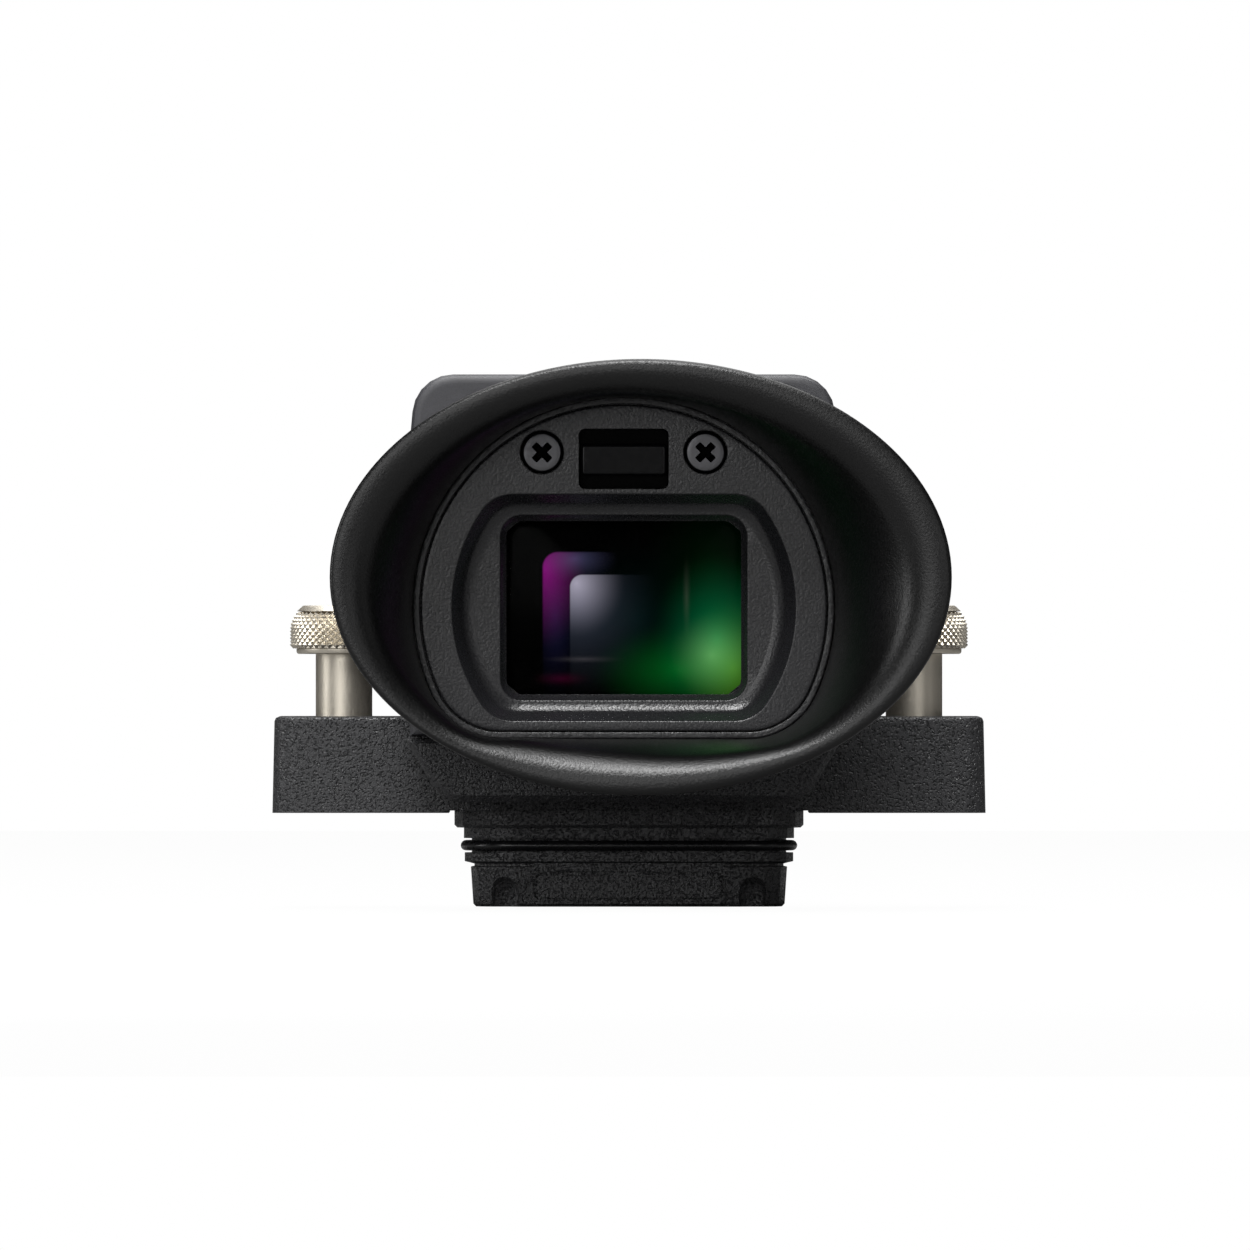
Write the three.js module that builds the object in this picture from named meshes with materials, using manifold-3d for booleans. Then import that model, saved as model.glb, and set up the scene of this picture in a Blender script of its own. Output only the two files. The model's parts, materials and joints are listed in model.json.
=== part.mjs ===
// Electronic viewfinder for a camera. Millimetres, +Z up, the eyepiece faces -Y.
// The origin is the centre of the face that sits on the camera, level with the underside of the bar.
import * as THREE from "three";
import { mergeVertices } from "three/addons/utils/BufferGeometryUtils.js";
import Module from "manifold-3d";

const wasm = await Module();
wasm.setup();

// How finely round pieces are faceted
const FINE_STEPS = 24;
const ROUND_STEPS = 16;
const RING_STEPS = 12;
const SMALL_STEPS = 8;
const CORNER_STEPS = 3;
const NOSE_STEPS = 16;

// Clearances
const SEAT = 0.3; // between two pieces that sit against each other
const FIT = 0.15; // around a pin or screw in its own hole
const RUN = 0.25; // between pieces that move past each other
const PAST = 2; // how far a cutting shape runs past the face that it cuts

// Base: a bar across the camera with a wing at each side
const WING_END = 8.75; // from a thumbscrew's axis to the end of its wing
const BAR_DEPTH = 26;
const BAR_HEIGHT = 11.9;
const BAR_CORNER = 3;
const BAR_DRAFT = 0.25;
const BAR_EDGE = 0.6;
const SEAT_RECESS_HALF = 22.2;
const POCKET_WIDTH = 28;
const POCKET_DEPTH = 15;
const POCKET_HEIGHT = 7.5;
const POCKET_CORNER = 3;

// Plug below the bar, with its sealing groove
const PLUG_WIDTH = 40.8;
const PLUG_DEPTH = 19;
const PLUG_CORNER = 6.5;
const PLUG_WALL = 2.4;
const FLANGE_HEIGHT = 1.85;
const FLANGE_LIP = 1.17;
const PAD_HALF = 16.5;
const PAD_RISE = 0.5;
const PAD_SLOPE = 1.5; // length of the S-shaped slope at each end
const PAD_SETBACK = 0.4;
const COLLAR_HEIGHT = 1.3;
const GROOVE_HEIGHT = 1.8;
const GROOVE_DEPTH = 0.97;
const LOWER_COLLAR_HEIGHT = 1.25;
const LOWER_COLLAR_STEP = 0.1;
const NECK_HEIGHT = 0.5;
const NECK_DEPTH = 1.3;
const BLOCK_HEIGHT = 4.9;
const BLOCK_STEP = 0.86;
const BLOCK_DRAFT = 0.3;
const BLOCK_EDGE = 0.35;
const O_RING_THICKNESS = 1.25;
const O_RING_PROUD = 0.4;
const SCOOP_RADIUS = 2;
const SCOOP_X = 15.5;
const SCOOP_LENGTH = 3.8;
const PANEL_WIDTH = 22.6;
const PANEL_HEIGHT = 2.7;
const PANEL_BORDER = 0.55;
const PANEL_PROUD = 0.3;
const PANEL_CORNER = 0.9;
const CONTACT_COLUMNS = 7;
const CONTACT_ROWS = 2;
const CONTACT_PITCH = 3;
const CONTACT_WIDTH = 0.9;
const CONTACT_ROW_GAP = 3.2;
const CONTACT_BLOCK_WIDTH = 26;
const CONTACT_BLOCK_DEPTH = 8;
const CONTACT_BLOCK_INSET = 0.8;
const CONTACT_BLOCK_CORNER = 1.2;
const PLUG_LEDGE = 1.5; // of the plug's hollow, inside the bar's pocket
const PLUG_SCREW_X = 16;
const PLUG_SCREW_SINK = 1.6;
const PLUG_SCREW_GRIP = 4; // length of its thread in the bar

// Thumbscrews, one in each wing
const KNOB_ROOM = 1.15; // between a knob and the hinge's ear beside it
const POST_DIAMETER = 7;
const POST_SHOW = 7.7;
const SCREW_TRAVEL = 5;
const THREAD_DIAMETER = 4;
const THREAD_TIP = 0.45; // above the bar's underside while the spring holds the screw up
const THREAD_EDGE = 0.3;
const KNOB_FLANGE_DIAMETER = 11.7;
const KNOB_FLANGE_HEIGHT = 0.5;
const KNOB_DIAMETER = 13.3;
const KNOB_HEIGHT = 5.5;
const KNOB_BAND = 2.6; // the straight part of the knurl, below its crown
const KNOB_CROWN = 1.6;
const KNOB_EDGE = 0.35;
const KNURL_COUNT = 22;
const KNURL_ROWS = 6;
const KNURL_DEPTH = 0.4;
const WING_BORE_DIAMETER = 9.2;
const WING_TOP = 1.3;
const BUSH_HEIGHT = 1.1;
const CLIP_THICKNESS = 0.5;
const CLIP_GROOVE_DEPTH = 0.55;
const CLIP_MOUTH = 0.9; // radians
const WASHER_THICKNESS = 0.4;
const SPRING_WIRE = 0.5;
const SPRING_TURNS = 4.5;

// Hinge between the base's ears and the barrel's knuckle
const BARREL_CROWN = 2.95; // from the eyepiece's top edge to the barrel's top
const BAR_CLEARANCE = 0.4;
const HINGE_BACK = 2; // towards the eye from the middle of the bar
const EAR_THICKNESS = 3.1;
const EAR_EDGE = 0.4;
const EAR_RADIUS = 9;
const EAR_FOOT_BACK = 11;
const EAR_FOOT_FRONT = 8.5;
const PIN_DIAMETER = 5;
const PIN_HEAD_DIAMETER = 9;
const PIN_HEAD_THICKNESS = 0.8;
const CAP_DIAMETER = 12.6;
const CAP_THICKNESS = 0.9;
const CAP_CROWN = 0.4;
const PIN_GROOVE_DEPTH = 0.5;
const PIN_PAST_CLIP = 1.4;
const PIN_EDGE = 0.3;
const HINGE_WASHER_DIAMETER = 11;
const HINGE_WASHER_THICKNESS = 0.4;
const HINGE_BOSS_DIAMETER = 10;
const HINGE_BOSS_LENGTH = 2;
const HINGE_CLIP_THICKNESS = 0.6;
const HINGE_CLIP_DIAMETER = 8;

// Barrel
const BARREL_SHIFT = -0.65; // the barrel stands a little left of the base's middle
const BARREL_HALF = 26.2;
const BARREL_TAPER = 0.7; // how much narrower each side is at the top
const BARREL_SHOULDER_DROP = 8;
const BARREL_CORNER = 5;
const BARREL_REAR = 38;
const BARREL_EDGE = 1.2;
const WALL = 1.8;
const KNUCKLE_STEP = 3.2; // how far the knuckle is set in from the barrel's sides
const SHOULDER_BACK = 14.5;
const SHOULDER_CORNER = 1.5;
const PARTING_HEIGHT = 9.35;
const CHIN_BOTTOM = 1.5;
const CHIN_FLARE = 0.6; // how far the chin stands out past the barrel's sides
const CHIN_FLAT_INSET = 5.8;
const CHIN_KNEE_INSET = 3.6;
const CHIN_KNEE_HEIGHT = 3.1;
const CHIN_CORNER = 2.6;
const CHIN_EDGE = 0.8;
const CHIN_GAP = 0.7;
const SHELL_SCREW_INSET = 5.9; // from the barrel's side
const SHELL_SCREW_BACK = [17.8, 30.6];
const SHELL_SCREW_RADIUS = 0.9;
const SHELL_HEAD_RADIUS = 1.7;
const SHELL_HEAD_HEIGHT = 1.2;
const HEAD_EDGE = 0.25;
const SHELL_SEAT_HEIGHT = 5;
const SHELL_BOSS_RADIUS = 2.6;
const SHELL_BOSS_HEIGHT = 6;
const SHELL_BOSS_ROOF = 1; // above its screw's hole

// Eyepiece. Distances called reach are measured from the hinge side towards the eye, along -Y
const EYE_RISE = 0.05; // from the middle of the shells' parting up to the eyepiece's flat edge
const EYE_INSET = 0.55; // of the eyepiece from the barrel's sides
const EYE_FOOT = 5.3; // from the window down to the eyepiece's flat edge
const EYE_CORNER = 9;
const BEZEL_FACE = 46;
const BEZEL_THICKNESS = 4.4;
const BEZEL_EDGE = 0.45;
const DISH_INSET = 4.65; // of the dish from the eyepiece's edge
const DISH_HALF = 14.3;
const DISH_CORNER = 4.6;
const DISH_DEPTH = 2.3;
const DISH_SLOPE_SIDE = 2.3;
const DISH_SLOPE_TOP = 1.9;
const WINDOW_WIDTH = 28.7;
const WINDOW_GAP = 3.9; // between the window and the sensor above it
const WINDOW_CORNER = 1.9;
const WINDOW_STEP = 1;
const WINDOW_STEP_DEPTH = 0.4;
const WINDOW_LIP = 0.6;
const GLASS_MARGIN = 0.7;
const GLASS_THICKNESS = 1.2;
const NECK_INSET = 2.2;
const FRAME_FLANGE_THICKNESS = 2;
const SENSOR_WIDTH = 11;
const SENSOR_HEIGHT = 7.4;
const SENSOR_INSET = 7.45; // of its middle from the eyepiece's top edge
const SENSOR_CORNER = 0.7;
const SENSOR_BAR_HEIGHT = 3.5;
const SENSOR_BAR_DROP = 0.3;
const SENSOR_BAR_PROUD = 0.9;
const SENSOR_TRAY_DEPTH = 1.5;
const SENSOR_TRAY_FLOOR = 0.7;
const SENSOR_TRAY_WALL = 1;
const SENSOR_BAR_MARGIN = 0.4;
const SENSOR_BAR_CORNER = 0.5;
const SENSOR_BAR_EDGE = 0.3;
const SENSOR_BOARD_WIDTH = 9;
const SENSOR_BOARD_HEIGHT = 5.4;
const BEZEL_SCREW_X = 10;
const BEZEL_SCREW_INSET = 6.65;
const BEZEL_HEAD_DIAMETER = 4.4;
const BEZEL_HEAD_RECESS = 5.5;
const BEZEL_HEAD_SINK = 0.5;
const BEZEL_HEAD_HEIGHT = 1.3;
const BEZEL_HEAD_EDGE = 0.35;
const BEZEL_SHANK_RADIUS = 1;
const BEZEL_SHANK_LENGTH = 5;
const CROSS_SPAN = 2.3;
const CROSS_WIDTH = 0.65;
const CROSS_DEPTH = 0.7;

// Eyecup and the ring that holds it
const RING_THICKNESS = 0.55;
const RING_FLANGE = 1.2;
const RING_EDGE = 0.2;
const CUP_WALL = 1.8;
const CUP_ROOT_SINK = 0.5;
const CUP_RIM_X = 1.4;
const CUP_RIM_RISE = 3.7; // above the optical axis
const CUP_RIM_HALF_WIDTH = 37.85;
const CUP_RIM_HALF_HEIGHT = 26.55;
const CUP_RIM_REACH = 66.5;
const CUP_WING = 2.5;
const CUP_RIM_ROUNDING = 0.5;
const CUP_STEPS = 44;
const CUP_FLARE_STEPS = 5;

// Optics behind the window
const OPTIC_ROOM = 5.5; // beside the lens tube, for the cam and the arm that it moves
const OPTIC_MARGIN = 1; // of the lenses above and below the window
const OPTIC_CORNER = 2.5;
const TUBE_WALL = 1.5;
const LEDGE_WIDTH = 1.2;
const LEDGE_THICKNESS = 0.8;
const EYE_LENS_FACE = 40.8;
const EYE_LENS_THICKNESS = 5;
const RETAINER_THICKNESS = 1;
const RETAINER_WIDTH = 1.6;
const CARRIAGE_ROOM = 1.5; // between the carriage at its travel's end and the ring behind the eye lens
const CARRIAGE_LENGTH = 6.6;
const CARRIAGE_WALL = 1.7;
const FOCUS_LENS_THICKNESS = 4.6;
const FIELD_LENS_THICKNESS = 3.2;
const FIELD_LENS_INSET = 4.5; // of its face from the tube's far end
const LENS_CROWN = 1.1;
const CARRIAGE_TRAVEL = 2;
const CAM_THROW = 2;
const CAM_PIN_RADIUS = 0.9;
const CAM_DISC_RADIUS = 3.8;
const CAM_DISC_THICKNESS = 1.2;
const ARM_HALF_LENGTH = 2.6;
const ARM_DROP = 1.6;
const ARM_RISE = 4.4;
const DIAL_DIAMETER = 13;
const DIAL_THICKNESS = 2.4;
const DIAL_RIDGES = 18;
const DIAL_RIDGE_DEPTH = 0.4;
const DIAL_SHAFT_RADIUS = 2;
const DIAL_RIM = 1.6;
const DIAL_DISH_DEPTH = 0.5;
const DIAL_SWING = Math.PI / 3; // to each side

// Display and boards
const HOLDER_WIDTH = 32;
const HOLDER_ROOM = 0.7; // below the holder
const HOLDER_THICKNESS = 4.4;
const PANEL_OPEN_WIDTH = 15;
const PANEL_LIP = 1.8; // of the holder over the display's edge
const PANEL_OPEN_FLARE = 3.2;
const DISPLAY_WIDTH = 20;
const DISPLAY_MARGIN = 3; // of the holder above and below the display
const DISPLAY_THICKNESS = 1.6;
const DISPLAY_PROUD = 0.4; // behind the holder
const DISPLAY_BOARD_INSET = 1;
const BOARD_THICKNESS = 1;
const MAIN_BOARD_ROOM = 1.2; // at each side of the main board
const MAIN_BOARD_BACK = 31;
const MAIN_BOARD_FRONT = 6;
const MAIN_BOARD_DROP = 3;
const STANDOFF_RADIUS = 1.8;
const STANDOFF_INSET = 3.5;
const CHIPS = [[-8, -20, 12], [8, -18, 9], [0, 0, 9]]; // each at x, y and with its size
const CHIP_HEIGHT = 0.8;
const FLEX_WIDTH = 10;
const FLEX_THICKNESS = 0.3;

// Places that follow from the sizes above
const EYE_RADIUS = BARREL_HALF - EYE_INSET;
const SENSOR_RISE = EYE_RADIUS - SENSOR_INSET; // above the optical axis
const WINDOW_HEIGHT = 2 * (SENSOR_RISE - SENSOR_HEIGHT / 2 - WINDOW_GAP);
const EYE_DROP = WINDOW_HEIGHT / 2 + EYE_FOOT;
const AXIS_HEIGHT = PARTING_HEIGHT + EYE_RISE + EYE_DROP;
const OPTIC_HALF = WINDOW_HEIGHT / 2 + OPTIC_MARGIN;
const CUP_RIM_HEIGHT = AXIS_HEIGHT + CUP_RIM_RISE;
const HOLDER_HEIGHT = 2 * (AXIS_HEIGHT - BAR_HEIGHT - BAR_CLEARANCE - WALL - HOLDER_ROOM);
const DISPLAY_HEIGHT = HOLDER_HEIGHT - 2 * DISPLAY_MARGIN;
const PANEL_OPEN_HEIGHT = DISPLAY_HEIGHT - 2 * PANEL_LIP;
const KNUCKLE_RADIUS = (AXIS_HEIGHT + EYE_RADIUS + BARREL_CROWN - BAR_HEIGHT - BAR_CLEARANCE) / 2;
const HINGE_HEIGHT = BAR_HEIGHT + BAR_CLEARANCE + KNUCKLE_RADIUS;
const BARREL_TOP = HINGE_HEIGHT + KNUCKLE_RADIUS;
const CHIN_FRONT = BAR_DEPTH / 2 + CHIN_GAP;
const TUBE_END = CHIN_FRONT + WALL;
const FRAME_FLANGE_INSET = WALL - EYE_INSET + RUN;
const LENS_RING_BACK = EYE_LENS_FACE - EYE_LENS_THICKNESS - RETAINER_THICKNESS;
const CARRIAGE_REACH = LENS_RING_BACK - CARRIAGE_ROOM - CARRIAGE_TRAVEL - CARRIAGE_LENGTH / 2;
const FIELD_LENS_FACE = TUBE_END + FIELD_LENS_INSET;
const UPPER_BOTTOM = PARTING_HEIGHT + SEAT / 2;
const LOWER_TOP = PARTING_HEIGHT - SEAT / 2;
const SHELL_SCREW_END = UPPER_BOTTOM + SHELL_BOSS_HEIGHT - SHELL_BOSS_ROOF;
const BEZEL_BACK = BEZEL_FACE - BEZEL_THICKNESS;
const FRAME_FACE = BEZEL_BACK - SEAT;
const FLANGE_FACE = BARREL_REAR - WALL - SEAT;
const FRAME_BACK = FLANGE_FACE - FRAME_FLANGE_THICKNESS;
const TUBE_START = FRAME_BACK - SEAT;
const BARREL_TOP_HALF = BARREL_HALF - BARREL_TAPER;
const DISH_RADIUS = EYE_RADIUS - DISH_INSET;
const BEZEL_SCREW_RISE = EYE_RADIUS - BEZEL_SCREW_INSET;
const KNUCKLE_HALF = BARREL_HALF - KNUCKLE_STEP;
const CHIN_HALF = BARREL_HALF + CHIN_FLARE;
const CHIN_FLAT_HALF = CHIN_HALF - CHIN_FLAT_INSET;
const CHIN_KNEE_HALF = CHIN_HALF - CHIN_KNEE_INSET;
const SHELL_SCREW_X = BARREL_HALF - SHELL_SCREW_INSET;
const OPTIC_RADIUS = BARREL_HALF - WALL - OPTIC_ROOM - TUBE_WALL;
const CAM_FACE = BARREL_HALF - WALL - SEAT;
const ARM_END = CAM_FACE - CAM_DISC_THICKNESS - 2 * SEAT;
const MAIN_BOARD_HALF = KNUCKLE_HALF - WALL - MAIN_BOARD_ROOM;
const EAR_INNER = KNUCKLE_HALF + HINGE_WASHER_THICKNESS + 2 * FIT;
const EAR_OUTER = EAR_INNER + EAR_THICKNESS;
const SCREW_X = EAR_OUTER - BARREL_SHIFT + KNOB_ROOM + KNOB_DIAMETER / 2;
const BAR_WIDTH = 2 * (SCREW_X + WING_END);

// Materials: each piece gets one of its own
const finish = (color, roughness, metalness = 0) => () =>
  new THREE.MeshStandardMaterial({ color, roughness, metalness, flatShading: true });
const powderCoat = finish(0x202124, 0.7, 0.2);
const satinPlastic = finish(0x2b2c2f, 0.55);
const darkPlastic = finish(0x17181a, 0.6);
const softRubber = finish(0x1a1b1d, 0.85);
const sealRubber = finish(0x0d0d0e, 0.45);
const champagne = finish(0xbdb4a0, 0.32, 0.95);
const steel = finish(0x9a9b9e, 0.3, 1);
const blackSteel = finish(0x1c1c1e, 0.4, 0.8);
const gold = finish(0xc79a3f, 0.3, 1);
const glass = finish(0x0c1410, 0.05);
const circuitBoard = finish(0x12402a, 0.6);
const flexFilm = finish(0xa05a1c, 0.5);

// Outlines: lists of points, counter-clockwise

// A polygon with round corners. Each corner is [x, y, radius].
function roundedOutline(corners, steps = CORNER_STEPS) {
  const points = [];
  corners.forEach(([x, y, radius], index) => {
    const here = new THREE.Vector2(x, y);
    const before = corners[(index + corners.length - 1) % corners.length];
    const after = corners[(index + 1) % corners.length];
    if (!radius) {
      points.push(here);
      return;
    }
    const back = new THREE.Vector2(before[0] - x, before[1] - y).normalize();
    const on = new THREE.Vector2(after[0] - x, after[1] - y).normalize();
    const halfAngle = Math.acos(THREE.MathUtils.clamp(back.dot(on), -1, 1)) / 2;
    const inward = back.clone().add(on).normalize();
    const centre = here.clone().addScaledVector(inward, radius / Math.sin(halfAngle));
    const reach = radius / Math.tan(halfAngle);
    const first = here.clone().addScaledVector(back, reach).sub(centre).angle();
    const last = here.clone().addScaledVector(on, reach).sub(centre).angle();
    let sweep = last - first;
    if (sweep > Math.PI) sweep -= 2 * Math.PI;
    if (sweep < -Math.PI) sweep += 2 * Math.PI;
    for (let step = 0; step <= steps; step++) {
      const angle = first + (sweep * step) / steps;
      const away = new THREE.Vector2(Math.cos(angle), Math.sin(angle)).multiplyScalar(radius);
      points.push(away.add(centre));
    }
  });
  return points;
}

// A rectangle with round corners, centred at x, y
function roundedBox(width, height, radius, x = 0, y = 0, steps = CORNER_STEPS) {
  const w = width / 2;
  const h = height / 2;
  const corners = [[-w, -h], [w, -h], [w, h], [-w, h]];
  return roundedOutline(corners.map(([cx, cy]) => [x + cx, y + cy, radius]), steps);
}

// Distance at one angle from the centre of a circle that is cut by flats above and below, with round corners
function flattedRadius(angle, radius, top, bottom, corner) {
  const flat = Math.sin(angle) >= 0 ? top : bottom;
  if (flat >= radius) return radius;
  const side = Math.abs(Math.cos(angle));
  const rise = Math.abs(Math.sin(angle));
  const cornerUp = flat - corner;
  const cornerOut = Math.sqrt((radius - corner) ** 2 - cornerUp ** 2);
  const steep = Math.atan2(rise, side);
  if (steep <= Math.atan2(cornerUp, cornerOut)) return radius;
  if (steep >= Math.atan2(flat, cornerOut)) return flat / rise;
  const along = cornerOut * side + cornerUp * rise;
  return along + Math.sqrt(Math.max(0, corner ** 2 - cornerOut ** 2 - cornerUp ** 2 + along ** 2));
}

function flattedCircle(radius, top, bottom, corner, count, y = 0) {
  return Array.from({ length: count }, (_, index) => {
    const angle = (2 * Math.PI * index) / count;
    const r = flattedRadius(angle, radius, top, bottom, corner);
    return new THREE.Vector2(r * Math.cos(angle), y + r * Math.sin(angle));
  });
}

// The eyepiece's own outline: a circle with a flat at the bottom
function eyeOutline(grow, count = CUP_STEPS) {
  const radius = EYE_RADIUS + grow;
  return flattedCircle(radius, radius, EYE_DROP + grow, EYE_CORNER + grow, count, AXIS_HEIGHT);
}

// The optics' outline: a circle with a flat above and below
function opticOutline(grow, count = FINE_STEPS) {
  const half = OPTIC_HALF + grow;
  return flattedCircle(OPTIC_RADIUS + grow, half, half, OPTIC_CORNER + Math.max(grow, -1), count, AXIS_HEIGHT);
}

// Solids

// A closed solid through a list of levels, each { outline, at }, all with as many points
function loft(levels) {
  const count = levels[0].outline.length;
  const positions = levels.flatMap(({ outline, at }) => outline.flatMap((p) => [p.x, p.y, at]));
  const faces = [];
  for (let level = 0; level + 1 < levels.length; level++) {
    for (let index = 0; index < count; index++) {
      const next = (index + 1) % count;
      const a = level * count + index;
      const b = level * count + next;
      faces.push(a, b, b + count, a, b + count, a + count);
    }
  }
  const cap = (level, flip) => {
    for (const [a, b, c] of THREE.ShapeUtils.triangulateShape(levels[level].outline, [])) {
      const start = level * count;
      faces.push(start + a, start + (flip ? c : b), start + (flip ? b : c));
    }
  };
  cap(0, true);
  cap(levels.length - 1, false);
  return meshOf(positions, faces);
}

function meshOf(positions, faces) {
  const geometry = new THREE.BufferGeometry();
  geometry.setAttribute("position", new THREE.Float32BufferAttribute(positions, 3));
  geometry.setIndex(faces);
  return geometry;
}

// Turns a shape made along Z so that it runs along X, or from the front towards the eye along -Y
const ALONG_X = new THREE.Matrix4().makeBasis(
  new THREE.Vector3(0, 1, 0), new THREE.Vector3(0, 0, 1), new THREE.Vector3(1, 0, 0));
const TO_EYE = new THREE.Matrix4().makeBasis(
  new THREE.Vector3(1, 0, 0), new THREE.Vector3(0, 0, 1), new THREE.Vector3(0, -1, 0));

function prism(outline, from, to, edge = 0, segments = 1) {
  const options = { depth: to - from - 2 * edge, bevelEnabled: edge > 0, steps: 1 };
  if (edge > 0) {
    const bevel = { bevelThickness: edge, bevelSize: edge, bevelOffset: -edge, bevelSegments: segments };
    Object.assign(options, bevel);
  }
  return new THREE.ExtrudeGeometry(new THREE.Shape(outline), options).translate(0, 0, from + edge);
}

function turned(profile, segments = ROUND_STEPS) {
  const points = profile.map(([radius, height]) => new THREE.Vector2(radius, height));
  return new THREE.LatheGeometry(points, segments).rotateX(Math.PI / 2);
}

const rod = (radius, from, to, segments = ROUND_STEPS) =>
  turned([[0, from], [radius, from], [radius, to], [0, to]], segments);

const block = (x, y, z, width, depth, height) =>
  new THREE.BoxGeometry(width, depth, height).translate(x, y, z);

// A block given by its two far corners
const blockBetween = (low, high) =>
  block(
    ...low.map((value, axis) => (value + high[axis]) / 2),
    ...low.map((value, axis) => high[axis] - value));

function solid(geometry) {
  const bare = geometry.clone();
  bare.deleteAttribute("normal");
  bare.deleteAttribute("uv");
  const merged = mergeVertices(bare, 1e-4);
  return new wasm.Manifold(new wasm.Mesh({
    numProp: 3,
    vertProperties: new Float32Array(merged.attributes.position.array),
    triVerts: new Uint32Array(merged.index.array),
  }));
}

const joined = (first, ...others) => others.reduce((all, each) => all.add(asSolid(each)), asSolid(first));
const cut = (first, ...others) => others.reduce((all, each) => all.subtract(asSolid(each)), asSolid(first));
const shared = (first, ...others) =>
  others.reduce((all, each) => all.intersect(asSolid(each)), asSolid(first));
const asSolid = (shape) => (shape.isBufferGeometry ? solid(shape) : shape);
const toEye = (geometry) => geometry.applyMatrix4(TO_EYE);
const alongX = (geometry) => geometry.applyMatrix4(ALONG_X);

function geometryOf(shape) {
  if (shape.isBufferGeometry) return shape;
  const { vertProperties, triVerts } = shape.getMesh();
  return meshOf(vertProperties, Array.from(triVerts));
}

const viewfinder = new THREE.Group();
const base = new THREE.Group();
const barrel = new THREE.Group();
barrel.position.x = BARREL_SHIFT;
viewfinder.add(base, barrel);

function add(group, name, shape, material) {
  const mesh = new THREE.Mesh(geometryOf(shape), material());
  mesh.name = name;
  group.add(mesh);
  return mesh;
}

const SIDES = { left: -1, right: 1 };

// Base casting: the drafted bar, its pocket, the wing bores and the two hinge ears
function earOutline() {
  const hinge = new THREE.Vector2(-HINGE_BACK, HINGE_HEIGHT);
  const foot = BAR_HEIGHT - BAR_EDGE - PAST;
  const back = new THREE.Vector2(-EAR_FOOT_BACK, foot);
  const front = new THREE.Vector2(EAR_FOOT_FRONT, foot);
  const tangent = (point, turn) => {
    const away = point.clone().sub(hinge);
    return away.angle() + turn * Math.acos(EAR_RADIUS / away.length());
  };
  const start = tangent(front, 1);
  const end = tangent(back, -1);
  const sweep = THREE.MathUtils.euclideanModulo(end - start, 2 * Math.PI);
  const steps = 10;
  const arc = Array.from({ length: steps + 1 }, (_, step) => {
    const angle = start + (sweep * step) / steps;
    return new THREE.Vector2(hinge.x + EAR_RADIUS * Math.cos(angle), hinge.y + EAR_RADIUS * Math.sin(angle));
  });
  return [back, front, ...arc];
}

function mountBase() {
  const barOutline = (inset) =>
    roundedBox(BAR_WIDTH - 2 * inset, BAR_DEPTH - 2 * inset, BAR_CORNER - inset, 0, 0, CORNER_STEPS + 1);
  const bar = loft([
    { outline: barOutline(0), at: 0 },
    { outline: barOutline(BAR_DRAFT), at: BAR_HEIGHT - BAR_EDGE },
    { outline: barOutline(BAR_DRAFT + BAR_EDGE * 0.3), at: BAR_HEIGHT - BAR_EDGE * 0.3 },
    { outline: barOutline(BAR_DRAFT + BAR_EDGE), at: BAR_HEIGHT },
  ]);
  const ears = [];
  const holes = [];
  for (const side of Object.values(SIDES)) {
    const inner = BARREL_SHIFT + side * EAR_INNER;
    const outer = BARREL_SHIFT + side * EAR_OUTER;
    ears.push(alongX(prism(earOutline(), Math.min(inner, outer), Math.max(inner, outer), EAR_EDGE)));
    const hole = (radius, from, depth) => {
      const ends = [BARREL_SHIFT + side * from, BARREL_SHIFT + side * (from - depth)];
      const round = alongX(rod(radius, Math.min(...ends), Math.max(...ends)));
      return round.translate(0, -HINGE_BACK, HINGE_HEIGHT);
    };
    holes.push(hole(PIN_DIAMETER / 2 + FIT, EAR_OUTER + PAST, EAR_THICKNESS + 2 * PAST));
    holes.push(hole(CAP_DIAMETER / 2 + FIT, EAR_OUTER + PAST, PAST + CAP_THICKNESS));
    holes.push(hole(
      PIN_HEAD_DIAMETER / 2 + FIT, EAR_OUTER + PAST, PAST + CAP_THICKNESS + PIN_HEAD_THICKNESS + SEAT));
    const wing = side * SCREW_X;
    holes.push(rod(WING_BORE_DIAMETER / 2, -PAST, BAR_HEIGHT - WING_TOP).translate(wing, 0, 0));
    holes.push(rod(POST_DIAMETER / 2 + RUN, 0, BAR_HEIGHT + PAST).translate(wing, 0, 0));
    const bolt = side * PLUG_SCREW_X;
    holes.push(rod(SHELL_SCREW_RADIUS + FIT, 0, POCKET_HEIGHT + 2, SMALL_STEPS).translate(bolt, 0, 0));
  }
  const pocket = prism(roundedBox(POCKET_WIDTH, POCKET_DEPTH, POCKET_CORNER), -PAST, POCKET_HEIGHT);
  const recess = blockBetween([-SEAT_RECESS_HALF, -BAR_DEPTH, -PAST], [SEAT_RECESS_HALF, BAR_DEPTH, SEAT]);
  const padSpace = toEye(prism(padOutline(SEAT), -BAR_DEPTH, BAR_DEPTH)).translate(0, 0, SEAT);
  return cut(joined(bar, ...ears), pocket, recess, padSpace, ...holes);
}

// The plug's raised pad from the front: level on top, with an S-shaped slope at each end
function padOutline(grow) {
  const steps = 4;
  const slope = Array.from({ length: steps + 1 }, (_, step) => {
    const t = step / steps;
    return [PAD_HALF + grow - PAD_SLOPE * t, PAD_RISE * t * t * (3 - 2 * t)];
  });
  const right = [[PAD_HALF + grow, -SEAT], ...slope];
  const left = right.map(([x, z]) => [-x, z]).reverse();
  return [...right, ...left].map(([x, z]) => new THREE.Vector2(x, z));
}

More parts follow.
